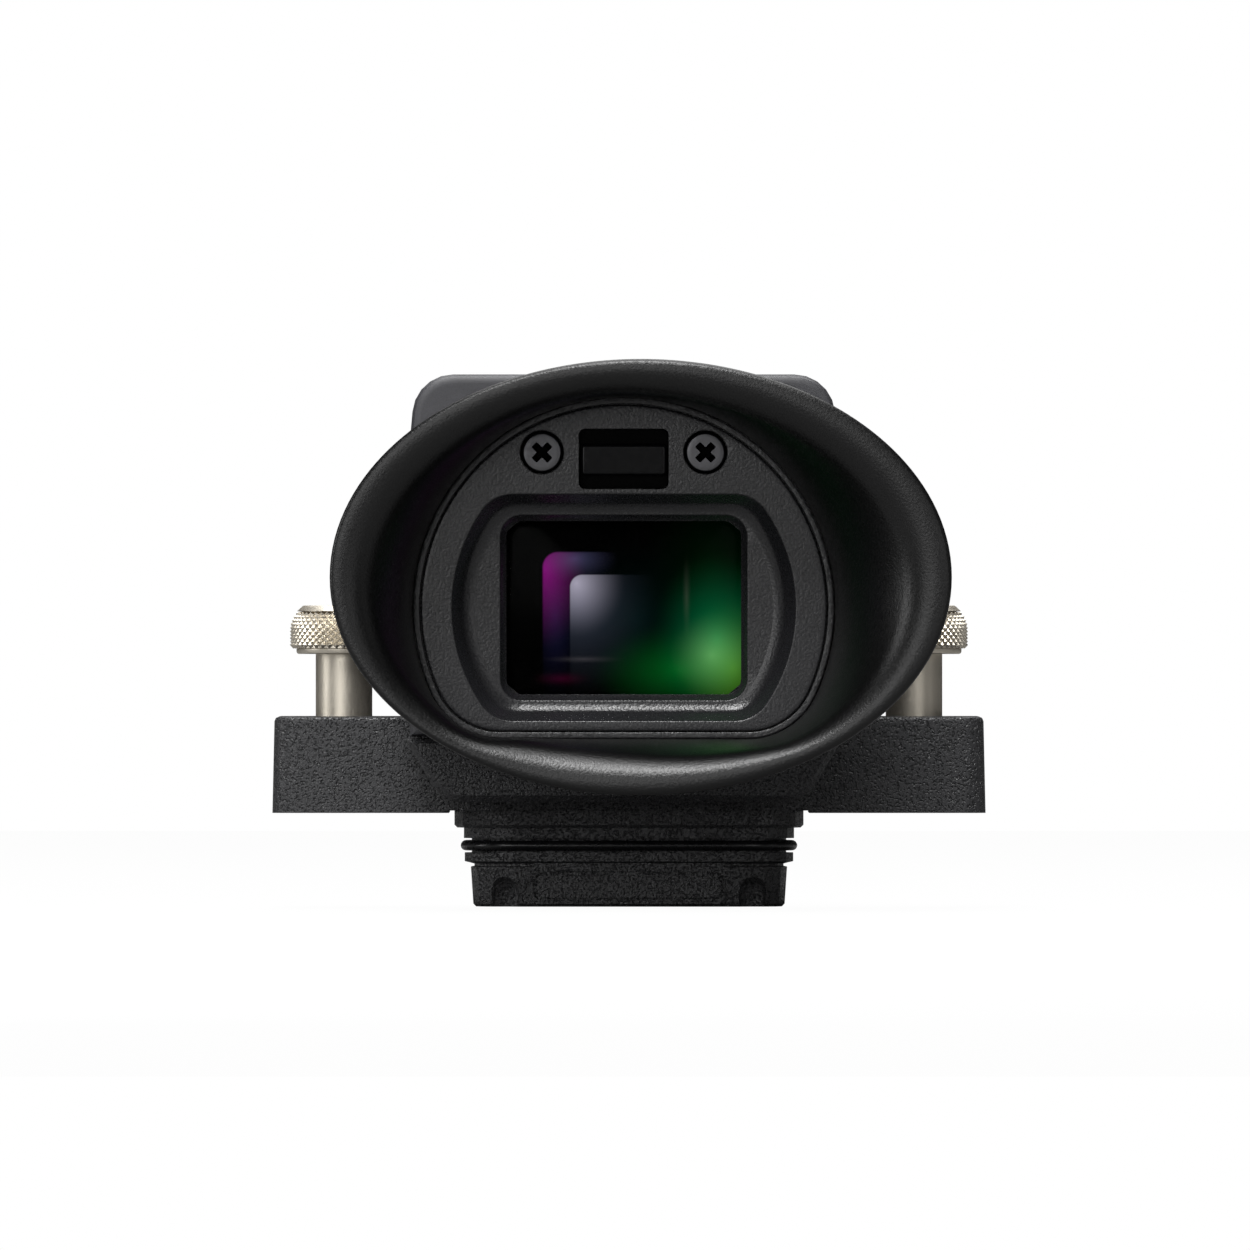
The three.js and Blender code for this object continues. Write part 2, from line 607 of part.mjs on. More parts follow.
// Plug casting: flange, collars and sealing groove, with the block that enters the camera
const plugOutline = (inset) =>
  roundedBox(PLUG_WIDTH - 2 * inset, PLUG_DEPTH - 2 * inset, PLUG_CORNER - inset);
const FLANGE_BOTTOM = -FLANGE_HEIGHT;
const COLLAR_BOTTOM = FLANGE_BOTTOM - COLLAR_HEIGHT;
const GROOVE_BOTTOM = COLLAR_BOTTOM - GROOVE_HEIGHT;
const LOWER_COLLAR_BOTTOM = GROOVE_BOTTOM - LOWER_COLLAR_HEIGHT;
const BLOCK_TOP = LOWER_COLLAR_BOTTOM - NECK_HEIGHT;
const PLUG_BOTTOM = BLOCK_TOP - BLOCK_HEIGHT;
const PLUG_SCREW_SEAT = PLUG_BOTTOM + PLUG_SCREW_SINK;

function plugHousing() {
  const levels = [
    [PLUG_BOTTOM, BLOCK_STEP + BLOCK_DRAFT + BLOCK_EDGE],
    [PLUG_BOTTOM + BLOCK_EDGE, BLOCK_STEP + BLOCK_DRAFT],
    [BLOCK_TOP, BLOCK_STEP],
    [BLOCK_TOP + NECK_HEIGHT * 0.2, NECK_DEPTH],
    [LOWER_COLLAR_BOTTOM - NECK_HEIGHT * 0.2, NECK_DEPTH],
    [LOWER_COLLAR_BOTTOM + NECK_HEIGHT * 0.4, LOWER_COLLAR_STEP],
    [GROOVE_BOTTOM, LOWER_COLLAR_STEP],
    [GROOVE_BOTTOM, GROOVE_DEPTH],
    [COLLAR_BOTTOM, GROOVE_DEPTH],
    [COLLAR_BOTTOM, 0],
    [FLANGE_BOTTOM, 0],
    [FLANGE_BOTTOM, BLOCK_EDGE - FLANGE_LIP],
    [FLANGE_BOTTOM + BLOCK_EDGE, -FLANGE_LIP],
    [0, -FLANGE_LIP],
  ];
  const casting = loft(levels.map(([at, inset]) => ({ outline: plugOutline(inset), at })));
  const half = PLUG_DEPTH / 2 - BLOCK_STEP - BLOCK_DRAFT;
  const panelHeight = PANEL_HEIGHT + 2 * PANEL_BORDER;
  const panelMiddle = (BLOCK_TOP + PLUG_BOTTOM) / 2;
  const proudWidth = PANEL_WIDTH + 2 * PANEL_BORDER;
  const faces = [];
  const cuts = [];
  for (const side of Object.values(SIDES)) {
    const face = side * (half + PANEL_PROUD);
    faces.push(blockBetween(
      [-proudWidth / 2, Math.min(side, face), PLUG_BOTTOM + BLOCK_EDGE],
      [proudWidth / 2, Math.max(side, face), LOWER_COLLAR_BOTTOM]));
    const outer = roundedBox(proudWidth, panelHeight, PANEL_CORNER + PANEL_BORDER, 0, panelMiddle);
    const inner = roundedBox(PANEL_WIDTH, PANEL_HEIGHT, PANEL_CORNER, 0, panelMiddle);
    const groove = cut(toEye(prism(outer, 0, PANEL_PROUD + PAST)), toEye(prism(inner, -PAST, 2 * PAST)));
    cuts.push(groove.translate([0, side < 0 ? -half + PANEL_PROUD : half + PANEL_PROUD + PAST, 0]));
    for (const x of [-SCOOP_X, SCOOP_X]) {
      const dome = PLUG_BOTTOM + SCOOP_LENGTH - SCOOP_RADIUS;
      const low = PLUG_BOTTOM - PAST;
      const scoop = turned([[0, low], [SCOOP_RADIUS, low], ...quarter(dome)], RING_STEPS);
      cuts.push(scoop.translate(x, side * (half + BLOCK_DRAFT), 0));
    }
    const bolt = side * PLUG_SCREW_X;
    cuts.push(rod(SHELL_SCREW_RADIUS + FIT, PLUG_BOTTOM - PAST, PAST, SMALL_STEPS).translate(bolt, 0, 0));
    const sink = rod(SHELL_HEAD_RADIUS + FIT, PLUG_BOTTOM - PAST, PLUG_SCREW_SEAT, SMALL_STEPS);
    cuts.push(sink.translate(bolt, 0, 0));
  }
  const padHalf = PLUG_DEPTH / 2 + FLANGE_LIP - PAD_SETBACK;
  const pad = toEye(prism(padOutline(0), -padHalf, padHalf));
  const hollowOutline = roundedBox(POCKET_WIDTH, POCKET_DEPTH - 2 * PLUG_LEDGE, POCKET_CORNER);
  const hollow = prism(hollowOutline, GROOVE_BOTTOM, PAST);
  const mouth = prism(contactOutline(SEAT), PLUG_BOTTOM - PAST, GROOVE_BOTTOM + PAST);
  return cut(joined(casting, pad, ...faces), ...cuts, hollow, mouth);
}

// The domed end of a scoop, from its side up to its tip
function quarter(height, steps = 3) {
  return Array.from({ length: steps + 1 }, (_, step) => {
    const angle = (Math.PI / 2) * (step / steps);
    return [SCOOP_RADIUS * Math.cos(angle) * (step < steps), height + SCOOP_RADIUS * Math.sin(angle)];
  });
}

const contactOutline = (grow) =>
  roundedBox(CONTACT_BLOCK_WIDTH + 2 * grow, CONTACT_BLOCK_DEPTH + 2 * grow, CONTACT_BLOCK_CORNER + grow);

function contactPlaces() {
  const places = [];
  for (let row = 0; row < CONTACT_ROWS; row++) {
    for (let column = 0; column < CONTACT_COLUMNS; column++) {
      const x = (column - (CONTACT_COLUMNS - 1) / 2) * CONTACT_PITCH;
      places.push([x, (row - (CONTACT_ROWS - 1) / 2) * CONTACT_ROW_GAP]);
    }
  }
  return places;
}

function contactBlock() {
  const body = prism(contactOutline(0), PLUG_BOTTOM + CONTACT_BLOCK_INSET, GROOVE_BOTTOM);
  const height = PLUG_DEPTH;
  const slots = contactPlaces().map(([x, y]) => {
    const width = CONTACT_WIDTH + 2 * SEAT;
    return block(x, y, GROOVE_BOTTOM, width, width, height);
  });
  return cut(body, ...slots);
}

function contactBoard() {
  const low = GROOVE_BOTTOM + SEAT;
  const high = low + BOARD_THICKNESS;
  const board = prism(contactOutline(0), low, high);
  const tip = PLUG_BOTTOM + CONTACT_BLOCK_INSET + SEAT;
  const root = (low + high) / 2;
  const pins = contactPlaces().map(([x, y]) =>
    block(x, y, (tip + root) / 2, CONTACT_WIDTH, CONTACT_WIDTH, root - tip));
  return joined(board, ...pins);
}

// A ring of round section that follows the plug's outline
function sealingRing() {
  const radius = O_RING_THICKNESS / 2;
  const middle = (COLLAR_BOTTOM + GROOVE_BOTTOM) / 2;
  const sections = 8;
  const rings = Array.from({ length: sections }, (_, index) => {
    const angle = (2 * Math.PI * index) / sections;
    const inset = radius - O_RING_PROUD - radius * Math.cos(angle);
    return plugOutline(inset).map((p) => new THREE.Vector3(p.x, p.y, middle + radius * Math.sin(angle)));
  });
  return closedRings(rings);
}

// A closed ring-shaped skin: each ring's points join the next ring's, and the last ring joins the first
function closedRings(rings) {
  const count = rings[0].length;
  const positions = rings.flatMap((ring) => ring.flatMap((p) => [p.x, p.y, p.z]));
  const faces = [];
  rings.forEach((_, index) => {
    const here = index * count;
    const there = ((index + 1) % rings.length) * count;
    for (let point = 0; point < count; point++) {
      const next = (point + 1) % count;
      faces.push(here + point, here + next, there + next, here + point, there + next, there + point);
    }
  });
  return meshOf(positions, faces);
}

function machineScrew(seat, length, headHeight = SHELL_HEAD_HEIGHT) {
  return turned([
    [0, seat - headHeight], [SHELL_HEAD_RADIUS - HEAD_EDGE, seat - headHeight],
    [SHELL_HEAD_RADIUS, seat - headHeight + HEAD_EDGE], [SHELL_HEAD_RADIUS, seat],
    [SHELL_SCREW_RADIUS, seat], [SHELL_SCREW_RADIUS, seat + length], [0, seat + length],
  ], SMALL_STEPS);
}

// Thumbscrew: knurled head, smooth post and threaded end in one piece
const BUSH_TOP = FIT + BUSH_HEIGHT;
const POST_BOTTOM = BUSH_TOP + SCREW_TRAVEL + FIT;
const CLIP_TOP = BAR_HEIGHT - WING_TOP - RUN;
const CLIP_BOTTOM = CLIP_TOP - CLIP_THICKNESS;
const WASHER_TOP = CLIP_BOTTOM - FIT;
const WASHER_BOTTOM = WASHER_TOP - WASHER_THICKNESS;
const KNOB_BOTTOM = BAR_HEIGHT + POST_SHOW;

// The head's radius over the knurls: straight above the flange, then crowned
function knobRadius(height) {
  const crown = Math.max(0, height - KNOB_BAND) / (KNOB_HEIGHT - KNOB_BAND);
  return KNOB_DIAMETER / 2 - KNOB_CROWN * crown ** 2;
}

// Rows of raised points and valleys, each row half a knurl round from the last
function knurledHead() {
  const low = KNOB_BOTTOM + KNOB_FLANGE_HEIGHT;
  const columns = 2 * KNURL_COUNT;
  const ring = (radiusAt, height) => Array.from({ length: columns }, (_, index) => {
    const angle = (2 * Math.PI * index) / columns;
    const radius = radiusAt(index);
    return new THREE.Vector3(radius * Math.cos(angle), radius * Math.sin(angle), low + height);
  });
  const rings = [ring(() => KNOB_FLANGE_DIAMETER / 2, -FIT)];
  for (let row = 0; row <= KNURL_ROWS; row++) {
    const height = ((KNOB_HEIGHT - KNOB_EDGE) * row) / KNURL_ROWS;
    const end = row === 0 || row === KNURL_ROWS;
    const depth = (index) => (end || (index + row) % 2 ? KNURL_DEPTH : 0);
    rings.push(ring((index) => knobRadius(height) - depth(index), height));
  }
  rings.push(ring(() => knobRadius(KNOB_HEIGHT) - KNURL_DEPTH - KNOB_EDGE, KNOB_HEIGHT));
  return ringStack(rings);
}

// A skin through rings, closed at both ends. Quads are split along their lower diagonal, so knurls stand up.
function ringStack(rings) {
  const count = rings[0].length;
  const positions = rings.flatMap((ring) => ring.flatMap((p) => [p.x, p.y, p.z]));
  const faces = [];
  const reach = (index) => Math.hypot(positions[3 * index], positions[3 * index + 1]);
  for (let level = 0; level + 1 < rings.length; level++) {
    for (let point = 0; point < count; point++) {
      const next = (point + 1) % count;
      const a = level * count + point;
      const b = level * count + next;
      const c = b + count;
      const d = a + count;
      if (reach(a) + reach(c) < reach(b) + reach(d)) faces.push(a, b, c, a, c, d);
      else faces.push(a, b, d, b, c, d);
    }
  }
  const last = (rings.length - 1) * count;
  for (let point = 1; point + 1 < count; point++) {
    faces.push(0, point + 1, point, last, last + point, last + point + 1);
  }
  return meshOf(positions, faces);
}

function thumbscrew() {
  const post = POST_DIAMETER / 2;
  const groove = post - CLIP_GROOVE_DEPTH;
  const thread = THREAD_DIAMETER / 2;
  const flange = KNOB_FLANGE_DIAMETER / 2;
  const shaft = turned([
    [0, THREAD_TIP], [thread - THREAD_EDGE, THREAD_TIP], [thread, THREAD_TIP + THREAD_EDGE],
    [thread, POST_BOTTOM], [post, POST_BOTTOM],
    [post, CLIP_BOTTOM - FIT / 2], [groove, CLIP_BOTTOM - FIT / 2], [groove, CLIP_TOP + FIT / 2],
    [post, CLIP_TOP + FIT / 2], [post, KNOB_BOTTOM], [flange, KNOB_BOTTOM],
    [flange, KNOB_BOTTOM + KNOB_FLANGE_HEIGHT], [0, KNOB_BOTTOM + KNOB_FLANGE_HEIGHT],
  ]);
  return joined(shaft, knurledHead());
}

function retainingClip() {
  const inner = POST_DIAMETER / 2 - CLIP_GROOVE_DEPTH + FIT;
  const outer = WING_BORE_DIAMETER / 2 - RUN;
  const ring = flatRing(inner, outer, CLIP_BOTTOM, CLIP_TOP);
  const half = CLIP_MOUTH / 2;
  const mouth = [
    new THREE.Vector2(0, 0), new THREE.Vector2(2 * outer * Math.cos(half), -2 * outer * Math.sin(half)),
    new THREE.Vector2(2 * outer * Math.cos(half), 2 * outer * Math.sin(half)),
  ];
  return cut(ring, prism(mouth, 0, BAR_HEIGHT));
}

// A ring of rectangular section
function flatRing(inner, outer, from, to) {
  return turned([[inner, from], [outer, from], [outer, to], [inner, to], [inner, from]], RING_STEPS);
}

class Helix extends THREE.Curve {
  constructor(radius, from, to, turns) {
    super();
    Object.assign(this, { radius, from, to, turns });
  }

  getPoint(t) {
    const angle = 2 * Math.PI * this.turns * t;
    const height = this.from + (this.to - this.from) * t;
    return new THREE.Vector3(this.radius * Math.cos(angle), this.radius * Math.sin(angle), height);
  }
}

function screwSpring() {
  const radius = (POST_DIAMETER / 2 + WING_BORE_DIAMETER / 2) / 2;
  const wire = SPRING_WIRE / 2;
  const path = new Helix(radius, BUSH_TOP + FIT + wire, WASHER_BOTTOM - FIT - wire, SPRING_TURNS);
  const section = new THREE.Shape(new THREE.EllipseCurve(0, 0, wire, wire).getPoints(5).slice(0, 5));
  return new THREE.ExtrudeGeometry(section, { extrudePath: path, steps: Math.round(SPRING_TURNS * 8) });
}

// Hinge hardware
const PIN_HEAD_FACE = EAR_OUTER - CAP_THICKNESS - SEAT / 2;
const PIN_END = KNUCKLE_HALF - WALL - HINGE_BOSS_LENGTH - HINGE_CLIP_THICKNESS - PIN_PAST_CLIP;

function hingePin(side) {
  const neck = PIN_HEAD_FACE - PIN_HEAD_THICKNESS;
  const clipNear = KNUCKLE_HALF - WALL - HINGE_BOSS_LENGTH - RUN;
  const radius = PIN_DIAMETER / 2;
  const groove = radius - PIN_GROOVE_DEPTH;
  return pivoted([
    [0, PIN_END], [radius - PIN_EDGE, PIN_END], [radius, PIN_END + PIN_EDGE],
    [radius, clipNear - HINGE_CLIP_THICKNESS - FIT], [groove, clipNear - HINGE_CLIP_THICKNESS - FIT],
    [groove, clipNear + FIT / 2], [radius, clipNear + FIT / 2], [radius, neck],
    [PIN_HEAD_DIAMETER / 2, neck], [PIN_HEAD_DIAMETER / 2, PIN_HEAD_FACE], [0, PIN_HEAD_FACE],
  ], side);
}

// A turned piece on the hinge axis, given by radius and distance from the barrel's middle
function pivoted(profile, side, segments = RING_STEPS) {
  const shape = turned(profile, segments).applyMatrix4(ALONG_X);
  if (side < 0) shape.rotateZ(Math.PI);
  return shape.translate(0, -HINGE_BACK, HINGE_HEIGHT);
}

function hingeCap(side) {
  const radius = CAP_DIAMETER / 2;
  const inner = EAR_OUTER - CAP_THICKNESS + SEAT / 2;
  return pivoted([
    [0, inner], [radius, inner], [radius, EAR_OUTER], [radius - CAP_CROWN, EAR_OUTER + CAP_CROWN],
    [0, EAR_OUTER + CAP_CROWN],
  ], side, ROUND_STEPS);
}

function hingeClip(side) {
  const far = KNUCKLE_HALF - WALL - HINGE_BOSS_LENGTH - RUN;
  const near = far - HINGE_CLIP_THICKNESS;
  const inner = PIN_DIAMETER / 2 - PIN_GROOVE_DEPTH + FIT;
  const outer = HINGE_CLIP_DIAMETER / 2;
  return pivoted([[inner, near], [outer, near], [outer, far], [inner, far], [inner, near]], side);
}

function hingeWasher(side) {
  const inner = PIN_DIAMETER / 2 + FIT;
  const near = KNUCKLE_HALF + FIT;
  const far = near + HINGE_WASHER_THICKNESS;
  const outer = HINGE_WASHER_DIAMETER / 2;
  return pivoted([[inner, near], [outer, near], [outer, far], [inner, far], [inner, near]], side);
}

// Barrel: the shape where three outlines meet, seen from the eye, from the side and from above
function frontOutline(inset, bottom) {
  const half = BARREL_HALF - inset;
  const topHalf = BARREL_TOP_HALF - inset;
  const top = BARREL_TOP - inset;
  const shoulder = BARREL_TOP - BARREL_SHOULDER_DROP;
  const corner = BARREL_CORNER - inset * 0.6;
  return roundedOutline([
    [-half, bottom, 0], [half, bottom, 0], [half, shoulder, 0], [topHalf, top, corner],
    [-topHalf, top, corner], [-half, shoulder, 0],
  ], inset ? CORNER_STEPS : CORNER_STEPS + 2);
}

function sideOutline(inset, bottom) {
  const back = -BARREL_REAR + inset;
  const step = -CHIN_FRONT - inset;
  const belly = HINGE_HEIGHT - KNUCKLE_RADIUS + inset;
  const radius = KNUCKLE_RADIUS - inset;
  const arcSteps = inset ? NOSE_STEPS / 2 : NOSE_STEPS;
  const nose = Array.from({ length: arcSteps + 1 }, (_, index) => {
    const angle = -Math.PI / 2 + (Math.PI * index) / arcSteps;
    return [-HINGE_BACK + radius * Math.cos(angle), HINGE_HEIGHT + radius * Math.sin(angle), 0];
  });
  return roundedOutline([
    [back, bottom, 0], [step, bottom, 0], [step, belly, 0], ...nose, [back, BARREL_TOP - inset, 0],
  ]);
}

function planOutline(inset) {
  const back = -BARREL_REAR + inset;
  const front = -HINGE_BACK + KNUCKLE_RADIUS + PAST;
  const shoulder = -SHOULDER_BACK - inset;
  const half = BARREL_HALF + PAST - inset;
  const knuckle = KNUCKLE_HALF - inset;
  return roundedOutline([
    [-half, back, 0], [half, back, 0], [half, shoulder, 0], [knuckle, shoulder, SHOULDER_CORNER / 2],
    [knuckle, front, 0], [-knuckle, front, 0], [-knuckle, shoulder, SHOULDER_CORNER / 2],
    [-half, shoulder, 0],
  ]);
}

function barrelForm(inset, bottom, edge) {
  const far = KNUCKLE_RADIUS + 2 * PAST;
  const front = toEye(prism(frontOutline(inset, bottom), -far, BARREL_REAR - inset, edge, 2));
  const half = BARREL_HALF + PAST;
  const side = alongX(prism(sideOutline(inset, bottom), -half, half));
  const plan = prism(planOutline(inset), bottom - PAST, BARREL_TOP + PAST);
  return shared(front, side, plan);
}

function upperShell() {
  const open = UPPER_BOTTOM - PAST;
  const outer = barrelForm(0, UPPER_BOTTOM, BARREL_EDGE);
  const hollow = barrelForm(WALL, open, 0);
  const neckHole = toEye(prism(eyeOutline(RUN - NECK_INSET), BARREL_REAR - 2 * WALL, BARREL_REAR + PAST));
  const bosses = [];
  const holes = [neckHole];
  for (const side of Object.values(SIDES)) {
    const bossFace = KNUCKLE_HALF - WALL - HINGE_BOSS_LENGTH;
    const bossRoot = KNUCKLE_HALF - WALL / 2;
    const bossRadius = HINGE_BOSS_DIAMETER / 2;
    const bossProfile = [[0, bossFace], [bossRadius, bossFace], [bossRadius, bossRoot], [0, bossRoot]];
    bosses.push(pivoted(bossProfile, side));
    const bore = PIN_DIAMETER / 2 + RUN;
    holes.push(pivoted([[0, KNUCKLE_HALF / 2], [bore, KNUCKLE_HALF / 2], [bore, KNUCKLE_HALF + PAST],
      [0, KNUCKLE_HALF + PAST]], side));
    for (const back of SHELL_SCREW_BACK) {
      const place = [side * SHELL_SCREW_X, -back, 0];
      const high = UPPER_BOTTOM + SHELL_BOSS_HEIGHT;
      bosses.push(rod(SHELL_BOSS_RADIUS, UPPER_BOTTOM, high, RING_STEPS).translate(...place));
      const wall = side * (BARREL_HALF - WALL / 2);
      const near = Math.min(wall, place[0]);
      const far = Math.max(wall, place[0]);
      const half = WALL / 2;
      bosses.push(blockBetween([near, -back - half, UPPER_BOTTOM], [far, -back + half, SHELL_SCREW_END]));
      holes.push(rod(SHELL_SCREW_RADIUS + FIT, 0, SHELL_SCREW_END, SMALL_STEPS).translate(...place));
    }
    for (const back of [MAIN_BOARD_BACK - STANDOFF_INSET, STANDOFF_INSET]) {
      const roof = BARREL_TOP - WALL;
      const post = rod(STANDOFF_RADIUS, roof - MAIN_BOARD_DROP, roof + WALL / 2, RING_STEPS);
      bosses.push(post.translate(side * (MAIN_BOARD_HALF - STANDOFF_INSET), -back, 0));
    }
  }
  const shaftHole = alongX(rod(DIAL_SHAFT_RADIUS + RUN, -BARREL_HALF - PAST, -BARREL_HALF + WALL + PAST));
  holes.push(shaftHole.translate(0, -CARRIAGE_REACH, AXIS_HEIGHT));
  const body = joined(outer.subtract(hollow), ...bosses);
  return cut(body, ...holes);
}

function chinOutline(inset, top) {
  const bottom = CHIN_BOTTOM + inset;
  const slope = inset * 0.8;
  return roundedOutline([
    [-CHIN_FLAT_HALF + slope, bottom, CHIN_CORNER], [CHIN_FLAT_HALF - slope, bottom, CHIN_CORNER],
    [CHIN_KNEE_HALF - inset, CHIN_KNEE_HEIGHT + slope, CHIN_CORNER], [CHIN_HALF - inset, LOWER_TOP, 0],
    ...(top > LOWER_TOP ? [[CHIN_HALF - inset, top, 0], [-CHIN_HALF + inset, top, 0]] : []),
    [-CHIN_HALF + inset, LOWER_TOP, 0], [-CHIN_KNEE_HALF + inset, CHIN_KNEE_HEIGHT + slope, CHIN_CORNER],
  ]);
}

function lowerShell() {
  const outer = toEye(prism(chinOutline(0, LOWER_TOP), CHIN_FRONT, BARREL_REAR, CHIN_EDGE));
  const hollow = toEye(prism(chinOutline(WALL, LOWER_TOP + PAST), CHIN_FRONT + WALL, BARREL_REAR - WALL));
  const pillars = [];
  const holes = [];
  for (const side of Object.values(SIDES)) {
    for (const back of SHELL_SCREW_BACK) {
      const place = [side * SHELL_SCREW_X, -back, 0];
      pillars.push(rod(SHELL_BOSS_RADIUS, CHIN_BOTTOM + WALL / 2, LOWER_TOP, RING_STEPS).translate(...place));
      holes.push(rod(SHELL_SCREW_RADIUS + FIT, 0, LOWER_TOP + PAST, SMALL_STEPS).translate(...place));
      holes.push(rod(SHELL_HEAD_RADIUS + FIT, 0, SHELL_SEAT_HEIGHT, SMALL_STEPS).translate(...place));
    }
  }
  return cut(joined(cut(outer, hollow), ...pillars), ...holes);
}

// Eyepiece frame: the neck that passes through the barrel's rear wall, with a flange inside it
function eyepieceFrame() {
  const neck = toEye(prism(eyeOutline(-NECK_INSET), FRAME_BACK, FRAME_FACE));
  const flange = toEye(prism(eyeOutline(-FRAME_FLANGE_INSET), FRAME_BACK, FLANGE_FACE));
  const bore = toEye(prism(opticOutline(0), FRAME_BACK - PAST, FRAME_FACE + PAST));
  const boardSpace = [SENSOR_BOARD_WIDTH + 2 * SEAT, SENSOR_BOARD_HEIGHT + 2 * SEAT];
  const board = sensorBlock(...boardSpace, FRAME_FACE - BOARD_THICKNESS - SEAT, FRAME_FACE + PAST);
  const holes = bezelScrewPlaces().map(([x, z]) =>
    toEye(rod(BEZEL_SHANK_RADIUS + FIT, FRAME_BACK - PAST, FRAME_FACE + PAST, SMALL_STEPS))
      .translate(x, 0, z));
  return cut(joined(neck, flange), bore, board, ...holes);
}

const bezelScrewPlaces = () => [-1, 1].map((side) => [side * BEZEL_SCREW_X, AXIS_HEIGHT + BEZEL_SCREW_RISE]);

function sensorBlock(width, height, from, to, corner = SENSOR_CORNER) {
  return toEye(prism(roundedBox(width, height, corner, 0, AXIS_HEIGHT + SENSOR_RISE), from, to));
}

const windowOutline = (grow, corner = WINDOW_CORNER) =>
  roundedBox(WINDOW_WIDTH + 2 * grow, WINDOW_HEIGHT + 2 * grow, corner + grow, 0, AXIS_HEIGHT);

function dishOutline(inward, count = CUP_STEPS) {
  const half = DISH_HALF - DISH_SLOPE_TOP * inward;
  return flattedCircle(
    DISH_RADIUS - DISH_SLOPE_SIDE * inward, half, half, DISH_CORNER - inward, count, AXIS_HEIGHT);
}

function eyepieceBezel() {
  const plate = toEye(loft([
    { outline: eyeOutline(0), at: BEZEL_BACK },
    { outline: eyeOutline(0), at: BEZEL_FACE - BEZEL_EDGE },
    { outline: eyeOutline(-BEZEL_EDGE * 0.3), at: BEZEL_FACE - BEZEL_EDGE * 0.3 },
    { outline: eyeOutline(-BEZEL_EDGE), at: BEZEL_FACE },
  ]));
  const floor = BEZEL_FACE - DISH_DEPTH;
  const dish = toEye(loft([
    { outline: dishOutline(1), at: floor },
    { outline: dishOutline(0.72), at: floor + DISH_DEPTH * 0.12 },
    { outline: dishOutline(0.2), at: BEZEL_FACE - DISH_DEPTH * 0.22 },
    { outline: dishOutline(0), at: BEZEL_FACE },
    { outline: dishOutline(-0.1), at: BEZEL_FACE + PAST },
  ]));
  const step = toEye(prism(windowOutline(WINDOW_STEP), floor - WINDOW_STEP_DEPTH, floor + PAST));
  const opening = toEye(prism(windowOutline(0), BEZEL_BACK - PAST, floor + PAST));
  const glassSeat = floor - WINDOW_STEP_DEPTH - WINDOW_LIP;
  const pocket = toEye(prism(windowOutline(GLASS_MARGIN + FIT), BEZEL_BACK - PAST, glassSeat));
  const sensor = sensorBlock(SENSOR_WIDTH, SENSOR_HEIGHT, BEZEL_BACK - PAST, BEZEL_FACE + PAST);
  const holes = bezelScrewPlaces().flatMap(([x, z]) => [
    toEye(rod(BEZEL_SHANK_RADIUS + FIT, BEZEL_BACK - PAST, BEZEL_FACE + PAST, SMALL_STEPS))
      .translate(x, 0, z),
    toEye(rod(BEZEL_HEAD_RECESS / 2, BEZEL_FACE - BEZEL_HEAD_SINK - BEZEL_HEAD_HEIGHT - FIT, BEZEL_FACE + PAST))
      .translate(x, 0, z),
  ]);
  return cut(plate, dish, step, opening, pocket, sensor, ...holes);
}

const GLASS_FACE = BEZEL_FACE - DISH_DEPTH - WINDOW_STEP_DEPTH - WINDOW_LIP - FIT;
const eyepieceWindow = () =>
  toEye(prism(windowOutline(GLASS_MARGIN), GLASS_FACE - GLASS_THICKNESS, GLASS_FACE));

function bezelScrew() {
  const seat = BEZEL_FACE - BEZEL_HEAD_SINK - BEZEL_HEAD_HEIGHT;
  const face = BEZEL_FACE - BEZEL_HEAD_SINK;
  const head = BEZEL_HEAD_DIAMETER / 2;
  const tip = seat - BEZEL_SHANK_LENGTH;
  const body = turned([
    [0, tip], [BEZEL_SHANK_RADIUS, tip], [BEZEL_SHANK_RADIUS, seat], [head, seat],
    [head, face - BEZEL_HEAD_EDGE], [head - BEZEL_HEAD_EDGE, face], [0, face],
  ]);
  const slots = [Math.PI / 4, -Math.PI / 4].map((angle) =>
    block(0, 0, face, CROSS_SPAN, CROSS_WIDTH, 2 * CROSS_DEPTH).rotateZ(angle));
  return cut(body, ...slots);
}

function sensorTray() {
  const face = BEZEL_FACE - SENSOR_TRAY_DEPTH;
  const body = sensorBlock(SENSOR_WIDTH - 2 * FIT, SENSOR_HEIGHT - 2 * FIT, BEZEL_BACK, face);
  const inner = [SENSOR_WIDTH - 2 * SENSOR_TRAY_WALL, SENSOR_HEIGHT - 2 * SENSOR_TRAY_WALL];
  const hollow = sensorBlock(...inner, BEZEL_BACK - PAST, face - SENSOR_TRAY_FLOOR, SENSOR_CORNER / 2);
  return cut(body, hollow);
}

function sensorWindow() {
  const low = BEZEL_FACE - SENSOR_TRAY_DEPTH + FIT;
  const width = SENSOR_WIDTH - 2 * SENSOR_BAR_MARGIN;
  const middle = AXIS_HEIGHT + SENSOR_RISE - SENSOR_BAR_DROP;
  const outline = roundedBox(width, SENSOR_BAR_HEIGHT, SENSOR_BAR_CORNER, 0, middle);
  return toEye(prism(outline, low, low + SENSOR_BAR_PROUD, SENSOR_BAR_EDGE));
}

const sensorBoard = () =>
  sensorBlock(SENSOR_BOARD_WIDTH, SENSOR_BOARD_HEIGHT, FRAME_FACE - BOARD_THICKNESS, FRAME_FACE);

// Ring behind and around the bezel, and the rubber eyecup that is stretched over it
const RING_OUTER = SEAT + RING_THICKNESS;
const RING_FLANGE_FACE = BEZEL_BACK - SEAT;
const RING_BACK = RING_FLANGE_FACE - RING_FLANGE;

